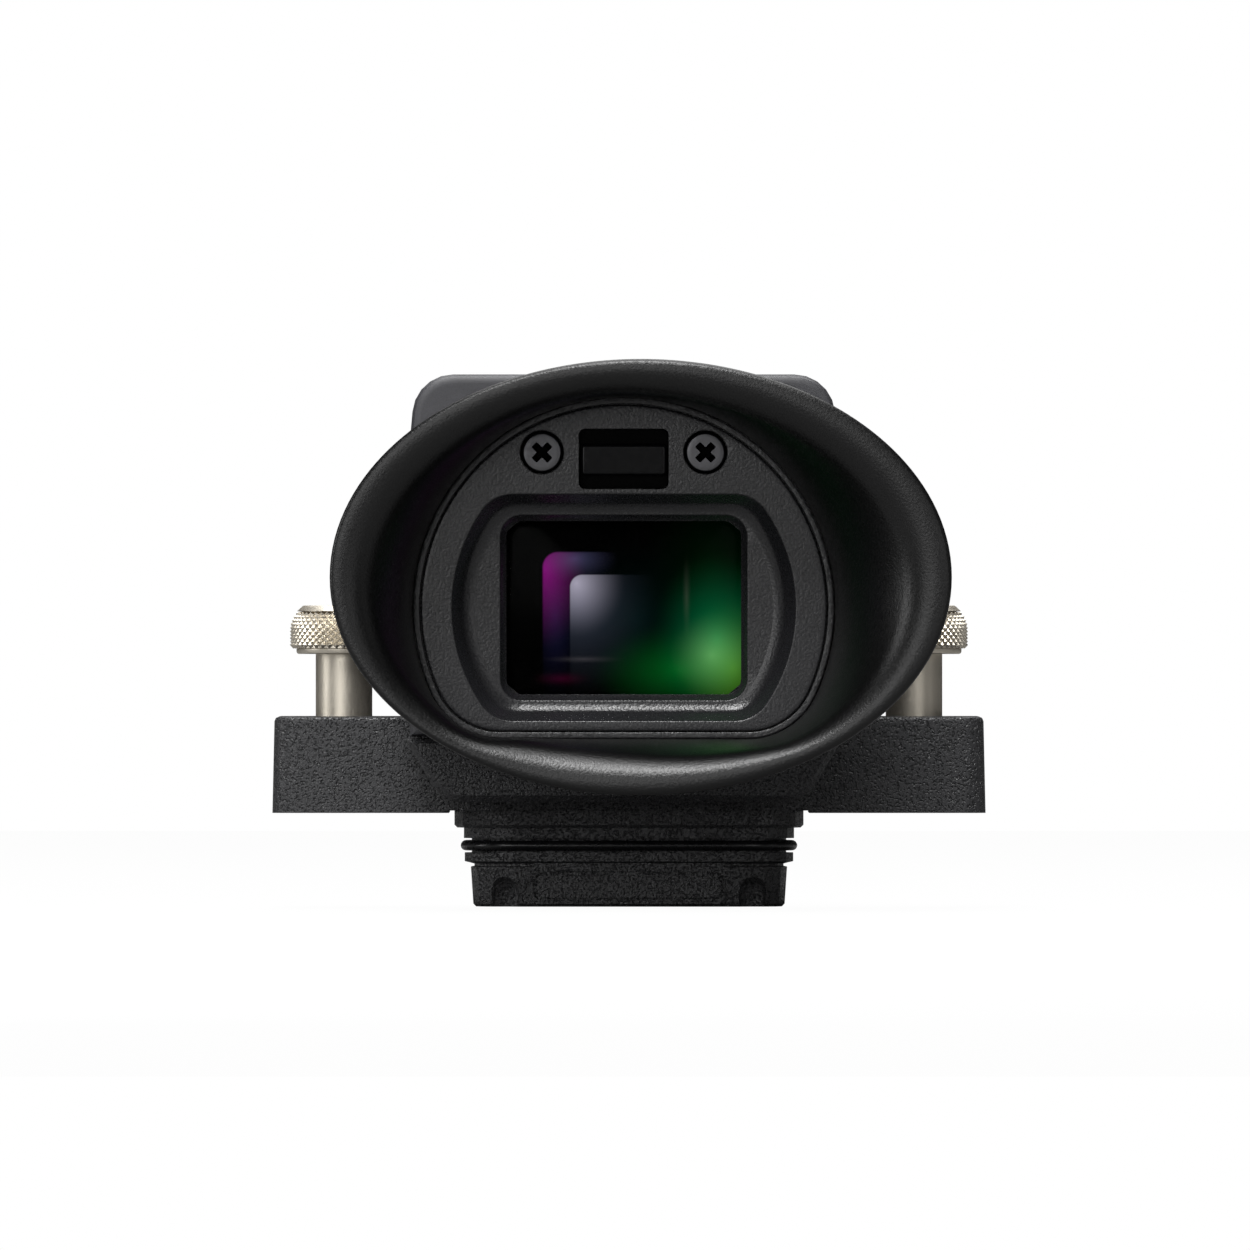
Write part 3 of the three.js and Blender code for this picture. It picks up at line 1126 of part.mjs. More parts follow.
function eyecupRing() {
  const body = toEye(loft([
    { outline: eyeOutline(RING_OUTER), at: RING_BACK },
    { outline: eyeOutline(RING_OUTER), at: BEZEL_FACE - RING_EDGE },
    { outline: eyeOutline(RING_OUTER - RING_EDGE), at: BEZEL_FACE },
  ]));
  const bezelSpace = toEye(prism(eyeOutline(SEAT), RING_FLANGE_FACE, BEZEL_FACE + PAST));
  const neckSpace = toEye(prism(eyeOutline(SEAT - NECK_INSET), RING_BACK - PAST, BEZEL_FACE));
  return cut(body, bezelSpace, neckSpace);
}

function rimPoint(angle, grow) {
  const halfWidth = CUP_RIM_HALF_WIDTH + grow;
  const halfHeight = CUP_RIM_HALF_HEIGHT + grow;
  const radius = 1 / Math.hypot(Math.cos(angle) / halfWidth, Math.sin(angle) / halfHeight);
  return new THREE.Vector2(
    CUP_RIM_X - BARREL_SHIFT + radius * Math.cos(angle), CUP_RIM_HEIGHT + radius * Math.sin(angle));
}

// One ring of the eyecup. flare runs from 0 at the root to 1 at the rim; grow and drop offset the skin.
function cupRing(flare, grow, drop) {
  const root = eyeOutline(RING_OUTER + SEAT + grow);
  return root.map((point, index) => {
    const angle = (2 * Math.PI * index) / CUP_STEPS;
    const rim = rimPoint(angle, grow - CUP_RIM_ROUNDING);
    const across = 1 - Math.cos(flare * Math.PI / 2);
    const rimReach = CUP_RIM_REACH + CUP_WING * Math.cos(angle);
    const reach = CUP_ROOT + (rimReach - CUP_ROOT) * Math.sin(flare * Math.PI / 2) - drop;
    return new THREE.Vector3(
      THREE.MathUtils.lerp(point.x, rim.x, across), THREE.MathUtils.lerp(point.y, rim.y, across), reach);
  });
}

const CUP_ROOT = BEZEL_FACE - CUP_ROOT_SINK;
const CUP_BACK = BARREL_REAR + SEAT;

function eyecup() {
  const level = (outline, at) => outline.map((p) => new THREE.Vector3(p.x, p.y, at));
  const rings = [];
  const inner = RING_OUTER + SEAT;
  const hook = RING_BACK - SEAT;
  rings.push(level(eyeOutline(SEAT - NECK_INSET), CUP_BACK));
  rings.push(level(eyeOutline(inner + CUP_WALL), CUP_BACK));
  for (let step = 0; step <= CUP_FLARE_STEPS; step++) {
    const flare = step / CUP_FLARE_STEPS;
    const lean = (flare * Math.PI) / 2;
    rings.push(cupRing(flare, CUP_WALL * Math.cos(lean), CUP_WALL * Math.sin(lean)));
  }
  rings.push(cupRing(1, CUP_RIM_ROUNDING, CUP_WALL * 0.5));
  for (let step = CUP_FLARE_STEPS; step >= 0; step--) {
    rings.push(cupRing(step / CUP_FLARE_STEPS, 0, 0));
  }
  rings.push(level(eyeOutline(inner), hook));
  rings.push(level(eyeOutline(SEAT - NECK_INSET), hook));
  return toEye(closedRings(rings));
}

// Optics: cut lenses in their seats, the moving one in a carriage
function lens(grow, face, thickness, crown = LENS_CROWN) {
  const radius = OPTIC_RADIUS + grow;
  const bow = (at) => crown * (1 - (at / radius) ** 2);
  const rings = [1, 0.7, 0.35];
  const low = face - thickness;
  const back = rings.toReversed().map((part) => [radius * part, low + crown - bow(radius * part)]);
  const front = rings.map((part) => [radius * part, face - crown + bow(radius * part)]);
  const profile = [[0, low], ...back, ...front, [0, face]];
  const round = toEye(turned(profile, FINE_STEPS)).translate(0, 0, AXIS_HEIGHT);
  return shared(round, toEye(prism(opticOutline(grow), low - PAST, face + PAST)));
}

function opticRing(outerGrow, innerGrow, from, to) {
  const body = toEye(prism(opticOutline(outerGrow), from, to));
  return cut(body, toEye(prism(opticOutline(innerGrow), from - PAST, to + PAST)));
}

function lensTube() {
  const body = opticRing(TUBE_WALL, 0, TUBE_END, TUBE_START);
  const reach = ARM_HALF_LENGTH + CARRIAGE_TRAVEL + SEAT;
  const slot = blockBetween(
    [-OPTIC_RADIUS - TUBE_WALL - PAST, -CARRIAGE_REACH - reach, AXIS_HEIGHT - ARM_DROP - SEAT],
    [-OPTIC_RADIUS + PAST, -CARRIAGE_REACH + reach, AXIS_HEIGHT + ARM_RISE + SEAT]);
  const ledge = opticRing(TUBE_WALL / 2, -LEDGE_WIDTH, TUBE_END, TUBE_END + LEDGE_THICKNESS);
  return cut(body, slot).add(ledge);
}

function lensCarriage() {
  const half = CARRIAGE_LENGTH / 2;
  const body = opticRing(-SEAT, -CARRIAGE_WALL, CARRIAGE_REACH - half, CARRIAGE_REACH + half);
  const arm = blockBetween(
    [-ARM_END, -CARRIAGE_REACH - ARM_HALF_LENGTH, AXIS_HEIGHT - ARM_DROP],
    [-OPTIC_RADIUS + CARRIAGE_WALL / 2, -CARRIAGE_REACH + ARM_HALF_LENGTH, AXIS_HEIGHT + ARM_RISE]);
  const slotHalf = CAM_PIN_RADIUS + RUN + FIT;
  const slot = blockBetween(
    [-ARM_END - PAST, -CARRIAGE_REACH - slotHalf, AXIS_HEIGHT + CAM_THROW * Math.cos(DIAL_SWING) - slotHalf],
    [-OPTIC_RADIUS - TUBE_WALL, -CARRIAGE_REACH + slotHalf, AXIS_HEIGHT + CAM_THROW + slotHalf]);
  return cut(body.add(solid(arm)), slot);
}

// Diopter dial on the left of the barrel: its shaft carries a disc with an eccentric pin

function atDial(shape) {
  return alongX(shape).rotateZ(Math.PI).translate(0, -CARRIAGE_REACH, AXIS_HEIGHT);
}

function diopterDial() {
  const near = BARREL_HALF + RUN;
  const far = near + DIAL_THICKNESS;
  const shaft = rod(DIAL_SHAFT_RADIUS, CAM_FACE - CAM_DISC_THICKNESS + FIT, near + DIAL_THICKNESS / 2);
  const outline = Array.from({ length: 2 * DIAL_RIDGES }, (_, index) => {
    const angle = (Math.PI * index) / DIAL_RIDGES;
    const radius = DIAL_DIAMETER / 2 - (index % 2) * DIAL_RIDGE_DEPTH;
    return new THREE.Vector2(radius * Math.cos(angle), radius * Math.sin(angle));
  });
  const dish = rod(DIAL_DIAMETER / 2 - DIAL_RIM, far - DIAL_DISH_DEPTH, far + PAST);
  return cut(joined(atDial(prism(outline, near, far)), atDial(shaft)), atDial(dish));
}

function diopterCam() {
  const low = CAM_FACE - CAM_DISC_THICKNESS;
  const disc = rod(CAM_DISC_RADIUS, low, CAM_FACE);
  const root = low + CAM_DISC_THICKNESS / 2;
  const pinEnd = OPTIC_RADIUS + TUBE_WALL + SEAT;
  const pin = rod(CAM_PIN_RADIUS, pinEnd, root, SMALL_STEPS).translate(0, CAM_THROW, 0);
  const bore = rod(DIAL_SHAFT_RADIUS + FIT, low + FIT / 2, CAM_FACE + PAST);
  return cut(joined(atDial(disc), atDial(pin)), atDial(bore));
}

// Display and its boards
const HOLDER_FACE = TUBE_END - SEAT;
const HOLDER_BACK = HOLDER_FACE - HOLDER_THICKNESS;
const DISPLAY_FACE = HOLDER_BACK + DISPLAY_THICKNESS - DISPLAY_PROUD;

const plateAt = (width, height, from, to, corner = 1) =>
  toEye(prism(roundedBox(width, height, corner, 0, AXIS_HEIGHT), from, to));

function displayHolder() {
  const body = plateAt(HOLDER_WIDTH, HOLDER_HEIGHT, HOLDER_BACK, HOLDER_FACE);
  const wide = [PANEL_OPEN_WIDTH + 2 * PANEL_OPEN_FLARE, PANEL_OPEN_HEIGHT + 2 * PANEL_OPEN_FLARE];
  const light = toEye(loft([
    { outline: roundedBox(PANEL_OPEN_WIDTH, PANEL_OPEN_HEIGHT, 1, 0, AXIS_HEIGHT), at: HOLDER_BACK - PAST },
    { outline: roundedBox(...wide, 1, 0, AXIS_HEIGHT), at: HOLDER_FACE + PAST },
  ]));
  const seat = plateAt(
    DISPLAY_WIDTH + 2 * SEAT, DISPLAY_HEIGHT + 2 * SEAT, HOLDER_BACK - PAST, DISPLAY_FACE + FIT);
  return cut(body, light, seat);
}

const displayPanel = () =>
  plateAt(DISPLAY_WIDTH, DISPLAY_HEIGHT, DISPLAY_FACE - DISPLAY_THICKNESS, DISPLAY_FACE, 0.5);
const DISPLAY_BOARD_FACE = DISPLAY_FACE - DISPLAY_THICKNESS - SEAT;
const displayBoard = () => plateAt(
  HOLDER_WIDTH - 2 * DISPLAY_BOARD_INSET, HOLDER_HEIGHT - 2 * DISPLAY_BOARD_INSET,
  DISPLAY_BOARD_FACE - BOARD_THICKNESS, DISPLAY_BOARD_FACE);

const MAIN_BOARD_TOP = BARREL_TOP - WALL - MAIN_BOARD_DROP - SEAT;

function mainBoard() {
  const length = MAIN_BOARD_BACK + MAIN_BOARD_FRONT;
  const middle = (MAIN_BOARD_FRONT - MAIN_BOARD_BACK) / 2;
  const low = MAIN_BOARD_TOP - BOARD_THICKNESS;
  const board = prism(roundedBox(2 * MAIN_BOARD_HALF, length, 2, 0, middle), low, MAIN_BOARD_TOP);
  const chips = CHIPS.map(([x, y, size]) => {
    const half = size / 2;
    return blockBetween([x - half, y - half, low - CHIP_HEIGHT], [x + half, y + half, MAIN_BOARD_TOP]);
  });
  return joined(board, ...chips);
}

// A film from the display board up to the main board
function displayFlex() {
  const near = DISPLAY_BOARD_FACE - BOARD_THICKNESS - SEAT;
  const top = MAIN_BOARD_TOP - BOARD_THICKNESS - SEAT;
  const half = FLEX_WIDTH / 2;
  return blockBetween([-half, -near, AXIS_HEIGHT], [half, -near + FLEX_THICKNESS, top]);
}

add(base, "mount_base", mountBase(), powderCoat);
add(base, "plug_housing", plugHousing(), powderCoat);
add(base, "plug_o_ring", sealingRing(), sealRubber);
add(base, "contact_block", contactBlock(), darkPlastic);
add(base, "contact_board", contactBoard(), gold);

for (const [name, side] of Object.entries(SIDES)) {
  const plugScrew = machineScrew(PLUG_SCREW_SEAT - FIT, PLUG_SCREW_GRIP - PLUG_BOTTOM);
  add(base, `${name}_plug_screw`, plugScrew, blackSteel)
    .position.x = side * PLUG_SCREW_X;

  const wing = new THREE.Group();
  wing.position.x = side * SCREW_X;
  base.add(wing);
  const bore = WING_BORE_DIAMETER / 2;
  const bushBore = THREAD_DIAMETER / 2 + RUN;
  add(wing, `${name}_screw_bush`, flatRing(bushBore, bore - FIT, FIT, BUSH_TOP), steel);
  add(wing, `${name}_screw_spring`, screwSpring(), steel);
  const washerBore = POST_DIAMETER / 2 + RUN;
  add(wing, `${name}_spring_washer`, flatRing(washerBore, bore - RUN, WASHER_BOTTOM, WASHER_TOP), steel);
  add(wing, `${name}_retaining_clip`, retainingClip(), steel);
  add(wing, `${name}_thumbscrew`, thumbscrew(), champagne);

  const hinge = new THREE.Group();
  hinge.position.x = BARREL_SHIFT;
  base.add(hinge);
  add(hinge, `${name}_hinge_pin`, hingePin(side), steel);
  add(hinge, `${name}_hinge_washer`, hingeWasher(side), gold);
  add(hinge, `${name}_hinge_cap`, hingeCap(side), darkPlastic);
  add(barrel, `${name}_hinge_clip`, hingeClip(side), blackSteel);
}

add(barrel, "upper_shell", upperShell(), satinPlastic);
add(barrel, "lower_shell", lowerShell(), powderCoat);
for (const [name, side] of Object.entries(SIDES)) {
  SHELL_SCREW_BACK.forEach((back, index) => {
    const end = index ? "rear" : "front";
    const length = SHELL_SCREW_END - SHELL_SEAT_HEIGHT - SEAT;
    add(barrel, `${name}_${end}_shell_screw`, machineScrew(SHELL_SEAT_HEIGHT - FIT, length), blackSteel)
      .position.set(side * SHELL_SCREW_X, -back, 0);
  });
}
add(barrel, "eyepiece_frame", eyepieceFrame(), darkPlastic);
add(barrel, "eyepiece_bezel", eyepieceBezel(), satinPlastic);
for (const [name, side] of Object.entries(SIDES)) {
  add(barrel, `${name}_bezel_screw`, toEye(geometryOf(bezelScrew())), blackSteel)
    .position.set(side * BEZEL_SCREW_X, 0, AXIS_HEIGHT + BEZEL_SCREW_RISE);
}
add(barrel, "sensor_tray", sensorTray(), darkPlastic);
add(barrel, "sensor_window", sensorWindow(), glass);
add(barrel, "sensor_board", sensorBoard(), circuitBoard);
add(barrel, "eyepiece_window", eyepieceWindow(), glass);
add(barrel, "eyecup_ring", eyecupRing(), darkPlastic);
add(barrel, "eyecup", eyecup(), softRubber);
add(barrel, "eye_lens", lens(-FIT, EYE_LENS_FACE, EYE_LENS_THICKNESS), glass);
const retainerFace = EYE_LENS_FACE - EYE_LENS_THICKNESS - FIT;
add(barrel, "lens_retainer",
  opticRing(-FIT, -RETAINER_WIDTH, retainerFace - RETAINER_THICKNESS, retainerFace), blackSteel);
add(barrel, "lens_tube", lensTube(), darkPlastic);
add(barrel, "field_lens", lens(-FIT, FIELD_LENS_FACE, FIELD_LENS_THICKNESS), glass);
add(barrel, "display_holder", displayHolder(), darkPlastic);
add(barrel, "display_panel", displayPanel(), glass);
add(barrel, "display_board", displayBoard(), circuitBoard);
add(barrel, "display_flex", displayFlex(), flexFilm);
add(barrel, "main_board", mainBoard(), circuitBoard);
add(barrel, "lens_carriage", lensCarriage(), darkPlastic);
const focusFace = CARRIAGE_REACH + FOCUS_LENS_THICKNESS / 2;
add(barrel, "focus_lens", lens(-CARRIAGE_WALL - FIT, focusFace, FOCUS_LENS_THICKNESS), glass);
add(barrel, "diopter_dial", diopterDial(), satinPlastic);
add(barrel, "diopter_cam", diopterCam(), steel);

export default viewfinder;
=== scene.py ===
# %% [markdown]
# # An electronic viewfinder, dressed for its portrait
# The frame brings every piece of the viewfinder in its real place. This lesson gives each piece the
# finish of the real one, and makes again, with more care, the pieces whose roundness, knurls or seams
# the eye would miss. The viewfinder looks at us with its eyepiece, so its depth runs along Y and its
# height along Z.

# %% Load the frame
import json
import math

import bmesh
import bpy
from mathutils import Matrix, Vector


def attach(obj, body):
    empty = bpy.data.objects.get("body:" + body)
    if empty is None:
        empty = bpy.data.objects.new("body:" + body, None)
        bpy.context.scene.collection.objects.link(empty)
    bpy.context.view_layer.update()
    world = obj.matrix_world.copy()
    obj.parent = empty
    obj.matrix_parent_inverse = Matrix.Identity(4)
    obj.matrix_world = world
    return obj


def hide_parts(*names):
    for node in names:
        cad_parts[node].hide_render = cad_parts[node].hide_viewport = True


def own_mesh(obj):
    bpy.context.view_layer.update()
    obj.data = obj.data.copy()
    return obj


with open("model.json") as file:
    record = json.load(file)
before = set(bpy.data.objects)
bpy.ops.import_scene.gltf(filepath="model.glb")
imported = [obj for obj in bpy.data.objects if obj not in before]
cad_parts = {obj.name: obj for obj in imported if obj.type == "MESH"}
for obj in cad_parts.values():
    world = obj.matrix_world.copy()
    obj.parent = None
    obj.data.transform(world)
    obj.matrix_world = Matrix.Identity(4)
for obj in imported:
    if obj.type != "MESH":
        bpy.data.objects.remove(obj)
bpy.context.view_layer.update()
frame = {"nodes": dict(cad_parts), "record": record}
nodes = frame["nodes"]
print("pieces in the frame:", len(nodes))

# %% [markdown]
# ## The camera
# The portrait was taken from the eye's side, level with the barrel and from far away, so that neither
# the top nor the underside of the bar shows. A long lens four metres off does the same. Its frame is
# 154 mm wide at the bar.

# %% Camera
MM = 0.001
PIXEL = 0.1233 * MM
IMAGE_SIDE = 1250
BAR_FRONT = -13 * MM
CAMERA_DISTANCE = 4.0
AIM_LEFT, AIM_UP = 4 * PIXEL, 188 * PIXEL
SENSOR = 36


def placed(name, data):
    made = bpy.data.objects.new(name, data)
    bpy.context.collection.objects.link(made)
    return made


lens_data = bpy.data.cameras.new("portrait_camera")
lens_data.sensor_width = SENSOR
lens_data.lens = SENSOR * CAMERA_DISTANCE / (IMAGE_SIDE * PIXEL)
lens_data.clip_end = 50
camera = placed("portrait_camera", lens_data)
camera.location = (-AIM_LEFT, BAR_FRONT - CAMERA_DISTANCE, AIM_UP)
camera.rotation_euler = (math.radians(90), 0, 0)
bpy.context.scene.camera = camera
print("lens in mm:", round(lens_data.lens))

# %% [markdown]
# ## Building finishes
# Every finish is a small net of nodes around one Principled shader. Small helpers keep the cells short:
# one adds a node and wires it, one starts a finish, and the others stand for nodes that come back
# often. Patterns read Object coordinates, which are metres here, so a noise scale of 1000 makes grains
# of about a millimetre.

# %% Helpers for finishes
def node(tree, kind, *values, settings=None, **named):
    made = tree.nodes.new(kind)
    for key, value in (settings or {}).items():
        setattr(made, key, value)
    pairs = list(enumerate(values)) + [(key.replace("_", " "), value) for key, value in named.items()]
    for key, value in pairs:
        if isinstance(value, bpy.types.NodeSocket):
            tree.links.new(value, made.inputs[key])
        else:
            made.inputs[key].default_value = value
    return made


def calc(tree, operation, *values):
    return node(tree, "ShaderNodeMath", *values, settings={"operation": operation}).outputs[0]


def calc_point(tree, operation, *values):
    return node(tree, "ShaderNodeVectorMath", *values, settings={"operation": operation}).outputs[0]


def distance(tree, point):
    return node(tree, "ShaderNodeVectorMath", point, settings={"operation": "LENGTH"}).outputs["Value"]


def finish(name, color, roughness, metallic=0.0, specular=0.5, coat=0.0):
    material = bpy.data.materials.new(name)
    material.use_nodes = True
    shader = material.node_tree.nodes["Principled BSDF"]
    values = {"Base Color": (*color, 1), "Roughness": roughness, "Metallic": metallic,
              "Specular IOR Level": specular, "Coat Weight": coat, "Coat Roughness": 0.1}
    for key, value in values.items():
        shader.inputs[key].default_value = value
    return material, material.node_tree, shader


def object_point(tree):
    return node(tree, "ShaderNodeTexCoord").outputs["Object"]


def noise(tree, scale, detail=3.0, distortion=0.0, point=None):
    made = node(tree, "ShaderNodeTexNoise", Vector=point or object_point(tree), Scale=scale, Detail=detail,
                Distortion=distortion)
    return made.outputs["Fac"]


def between(tree, value, low, high, from_low=0.3, from_high=0.7):
    made = node(tree, "ShaderNodeMapRange", value, from_low, from_high, low, high)
    return made.outputs["Result"]


# A Mix node has a set of sockets for each kind of data. These are the places of its numbers and colours.
NUMBER_A, NUMBER_B, COLOR_A, COLOR_B, COLOR_OUT = 2, 3, 6, 7, 2


def two_colors(tree, value, first, second):
    made = node(tree, "ShaderNodeMix", settings={"data_type": "RGBA"})
    tree.links.new(value, made.inputs["Factor"])
    made.inputs[COLOR_A].default_value = (*first, 1)
    made.inputs[COLOR_B].default_value = (*second, 1)
    return made.outputs[COLOR_OUT]


def shade(color, share):
    return tuple(min(1.0, part * share) for part in color)


def vary_color(tree, shader, value, first, second):
    tree.links.new(two_colors(tree, value, first, second), shader.inputs["Base Color"])


def vary_gloss(tree, shader, value, low, high, *span):
    tree.links.new(between(tree, value, low, high, *span), shader.inputs["Roughness"])


def bump(tree, shader, height, strength, depth):
    made = node(tree, "ShaderNodeBump", Strength=strength, Distance=depth, Height=height)
    tree.links.new(made.outputs["Normal"], shader.inputs["Normal"])


# %% [markdown]
# ## Textured powder coat
# The castings wear a powder coat that flows into a low, pebbled skin: small dark pits lie between smooth
# crests, and here and there a crest glints. A ramp keeps only the low places of a noise as pits, which
# darken the colour as painted shade. A finer noise adds grit, which varies the gloss, and both shape the
# height.
# The plug's copy of the coat is painted lighter, as painted light that makes up for the shade the bar casts
# on it.

# %% Powder coat
def powder_coat(name, crest):
    material, tree, shader = finish(name, crest, 0.42, specular=0.5)
    pebbles = noise(tree, 3000, detail=1.0)
    pits_with_painted_shade = between(tree, pebbles, 0, 1, 0.32, 0.5)
    grit = noise(tree, 5200, detail=1.0)
    # The pits' darker colour is painted shade in the low places.
    vary_color(tree, shader, pits_with_painted_shade, shade(crest, 0.5), crest)
    vary_gloss(tree, shader, grit, 0.2, 0.5, 0.35, 0.6)
    bump(tree, shader, calc(tree, "MULTIPLY_ADD", grit, 0.35, pits_with_painted_shade), 1.0, 0.15 * MM)
    return material


# %% [markdown]
# ## Moulded plastics
# The barrel's shell and the bezel are moulded in tools with a spark-eroded surface, which gives them a
# fine even grain. One function makes them all, and grain, gloss and colour differ from piece to piece.

# %% Plastics
def plastic(name, color, roughness, grain=5200, strength=0.35, depth=0.03, spread=0.25, specular=0.5):
    material, tree, shader = finish(name, color, roughness, specular=specular)
    fine = noise(tree, grain, detail=2.0)
    broad = noise(tree, 160, detail=2.0)
    cloud = between(tree, calc(tree, "MULTIPLY", fine, broad), 0, 1, 0.1, 0.45)
    vary_color(tree, shader, cloud, shade(color, 1 - spread), shade(color, 1 + spread))
    vary_gloss(tree, shader, fine, roughness - 0.06, roughness + 0.08)
    bump(tree, shader, fine, strength, depth * MM)
    return material


# %% [markdown]
# ## Rubbers
# The eyecup is soft matt rubber: nearly black, it shows only where a broad, grainy highlight runs over
# its lip. The sealing ring is a denser, greased rubber, so it keeps one sharp line of light.

# %% Rubbers
def soft_rubber():
    material, tree, shader = finish("soft_rubber", (0.001, 0.001, 0.0011), 0.4, specular=0.42)
    fine = noise(tree, 3400)
    cloud = noise(tree, 90)
    vary_color(tree, shader, cloud, (0.0007, 0.0007, 0.0008), (0.0013, 0.0013, 0.0014))
    vary_gloss(tree, shader, fine, 0.29, 0.4)
    bump(tree, shader, fine, 0.8, 0.05 * MM)
    return material


def seal_rubber():
    material, tree, shader = finish("seal_rubber", (0.008, 0.008, 0.009), 0.25)
    smear = noise(tree, 500)
    vary_gloss(tree, shader, smear, 0.18, 0.36)
    bump(tree, shader, smear, 0.1, 0.02 * MM)
    return material


# %% [markdown]
# ## Metals
# The thumbscrews are brass under a champagne nickel plate, blasted to a satin before plating, so the
# post shows soft bands of light with a tooth of fine grain. The other metals stay inside, on the back
# or below: plain steel, blackened screws, bronze washers and gold contacts.

# %% Metals
TARNISH = 0.08  # how much darker and lighter the grain makes a metal


def metal(name, color, roughness, stretch=(1, 1, 1)):
    material, tree, shader = finish(name, color, roughness, metallic=1.0)
    point = node(tree, "ShaderNodeMapping", object_point(tree), Scale=stretch).outputs["Vector"]
    fine = noise(tree, 4500, point=point)
    vary_color(tree, shader, fine, shade(color, 1 - TARNISH), shade(color, 1 + TARNISH))
    vary_gloss(tree, shader, fine, roughness - 0.08, roughness + 0.1)
    bump(tree, shader, fine, 0.2, 0.02 * MM)
    return material


# %% [markdown]
# The bezel's screws are blackened too, but a driver and a cleaning cloth have rubbed their faces to a grey
# satin. Below the face the finish darkens with depth to near black, which is the blackened steel and also
# painted shade in the cross and round the edge.

# %% Rubbed screw heads with painted shade
RUBBED_FROM, PAINTED_SHADE_FROM = 0.1, 0.4  # millimetres below the face


def rubbed_steel_painted_shade(face):
    rubbed, black = (0.10, 0.10, 0.105), (0.001, 0.001, 0.001)
    material, tree, shader = finish("rubbed_steel_painted_recess_shade", rubbed, 0.36, metallic=1.0)
    depth = node(tree, "ShaderNodeSeparateXYZ", object_point(tree)).outputs["Y"]
    # Below the face the colour falls to near black: the blackened steel, and painted shade in the cross and
    # round the edge.
    below = between(tree, depth, 0.0, 1.0, (RUBBED_FROM - face) * MM, (PAINTED_SHADE_FROM - face) * MM)
    vary_color(tree, shader, below, rubbed, black)
    vary_gloss(tree, shader, noise(tree, 3000), 0.3, 0.46)
    return material


# %% [markdown]
# ## Coated glass
# Each glass surface behind the window carries an anti-reflection coating, and its weak reflection of the
# room in its own colour is painted on the first lens as a glow: a magenta one, a pale one inside it, and a
# green glow at the lower right. These painted reflections are soft-edged blocks and glows, added up and
# emitted by the first lens. Their places are millimetres from the optical axis, which AXIS gives as the eye
# sees it: a little left of the bar's middle and 25.3 mm above the bar's underside.

# %% Painted reflections in the coatings
AXIS = Vector((-0.65, 0, 25.3))
# (colour, part of the glass, x, z, width, height) of each painted reflection. The outer part is a block
# with a round corner, less the inner part, which is a smaller block of the same kind.
PAINTED_REFLECTIONS = (
    ((0.24, 0.004, 0.19), "outer", -9.6, 4.8, 4.0, 7.5),
    ((0.05, 0.05, 0.11), "outer", -6.0, 6.0, 4.2, 2.4),
    ((0.008, 0.008, 0.034), "outer", -8.4, -1.0, 2.8, 8.0),
    ((0.43, 0.40, 0.50), "inner", -5.8, 3.0, 4.6, 5.2),
    ((0.035, 0.042, 0.065), "inner", -5.8, 0.6, 8.0, 9.0),
    ((0.026, 0.023, 0.02), "all", 7.7, 1.3, 0.5, 4.4),
    ((0.035, 0.032, 0.035), "all", -5.0, -6.3, 4.2, 0.45),
    ((0.03, 0.0, 0.009), "all", -7.6, -8.7, 3.0, 0.8),
    ((0.0, 0.006, 0.005), "all", 1.5, -1.5, 9.0, 8.0),
    ((0.0, 0.17, 0.055), "all", 11.4, -3.8, 6.3, 8.2),
    ((0.0, 0.10, 0.010), "all", 6.8, -7.6, 8.6, 4.6),
    ((0.10, 0.22, 0.08), "all", 10.8, -5.8, 4.2, 4.2),
    ((0.06, 0.16, 0.0), "all", 13.4, -7.4, 5.4, 7.0),
    ((0.0, 0.007, 0.001), "all", 11.0, 4.0, 7.5, 9.0),
)


def glow(tree, point, x, z, width, height):
    """1 in the middle of an oval, fading to 0 a third of its size outside it."""
    moved = calc_point(tree, "SUBTRACT", point, (x, 0.0, z))
    scaled = calc_point(tree, "MULTIPLY", moved, (1 / width, 0.0, 1 / height))
    near = between(tree, distance(tree, scaled), 1.0, 0.0, 0.0, 1.35)
    return calc(tree, "POWER", near, 2.0)


def round_corner(tree, point, x, z, radius, edge):
    """1 to the right of x and below z, with a round upper left corner."""
    away = calc_point(tree, "SUBTRACT", point, (x + radius, 0.0, z - radius))
    parts = node(tree, "ShaderNodeSeparateXYZ", away).outputs
    left, up = calc(tree, "MINIMUM", parts["X"], 0.0), calc(tree, "MAXIMUM", parts["Z"], 0.0)
    corner = node(tree, "ShaderNodeCombineXYZ", left, up, 0.0).outputs[0]
    made = node(tree, "ShaderNodeMapRange", distance(tree, corner), radius - edge, radius, 1.0, 0.0,
                settings={"interpolation_type": "SMOOTHSTEP"})
    return made.outputs["Result"]


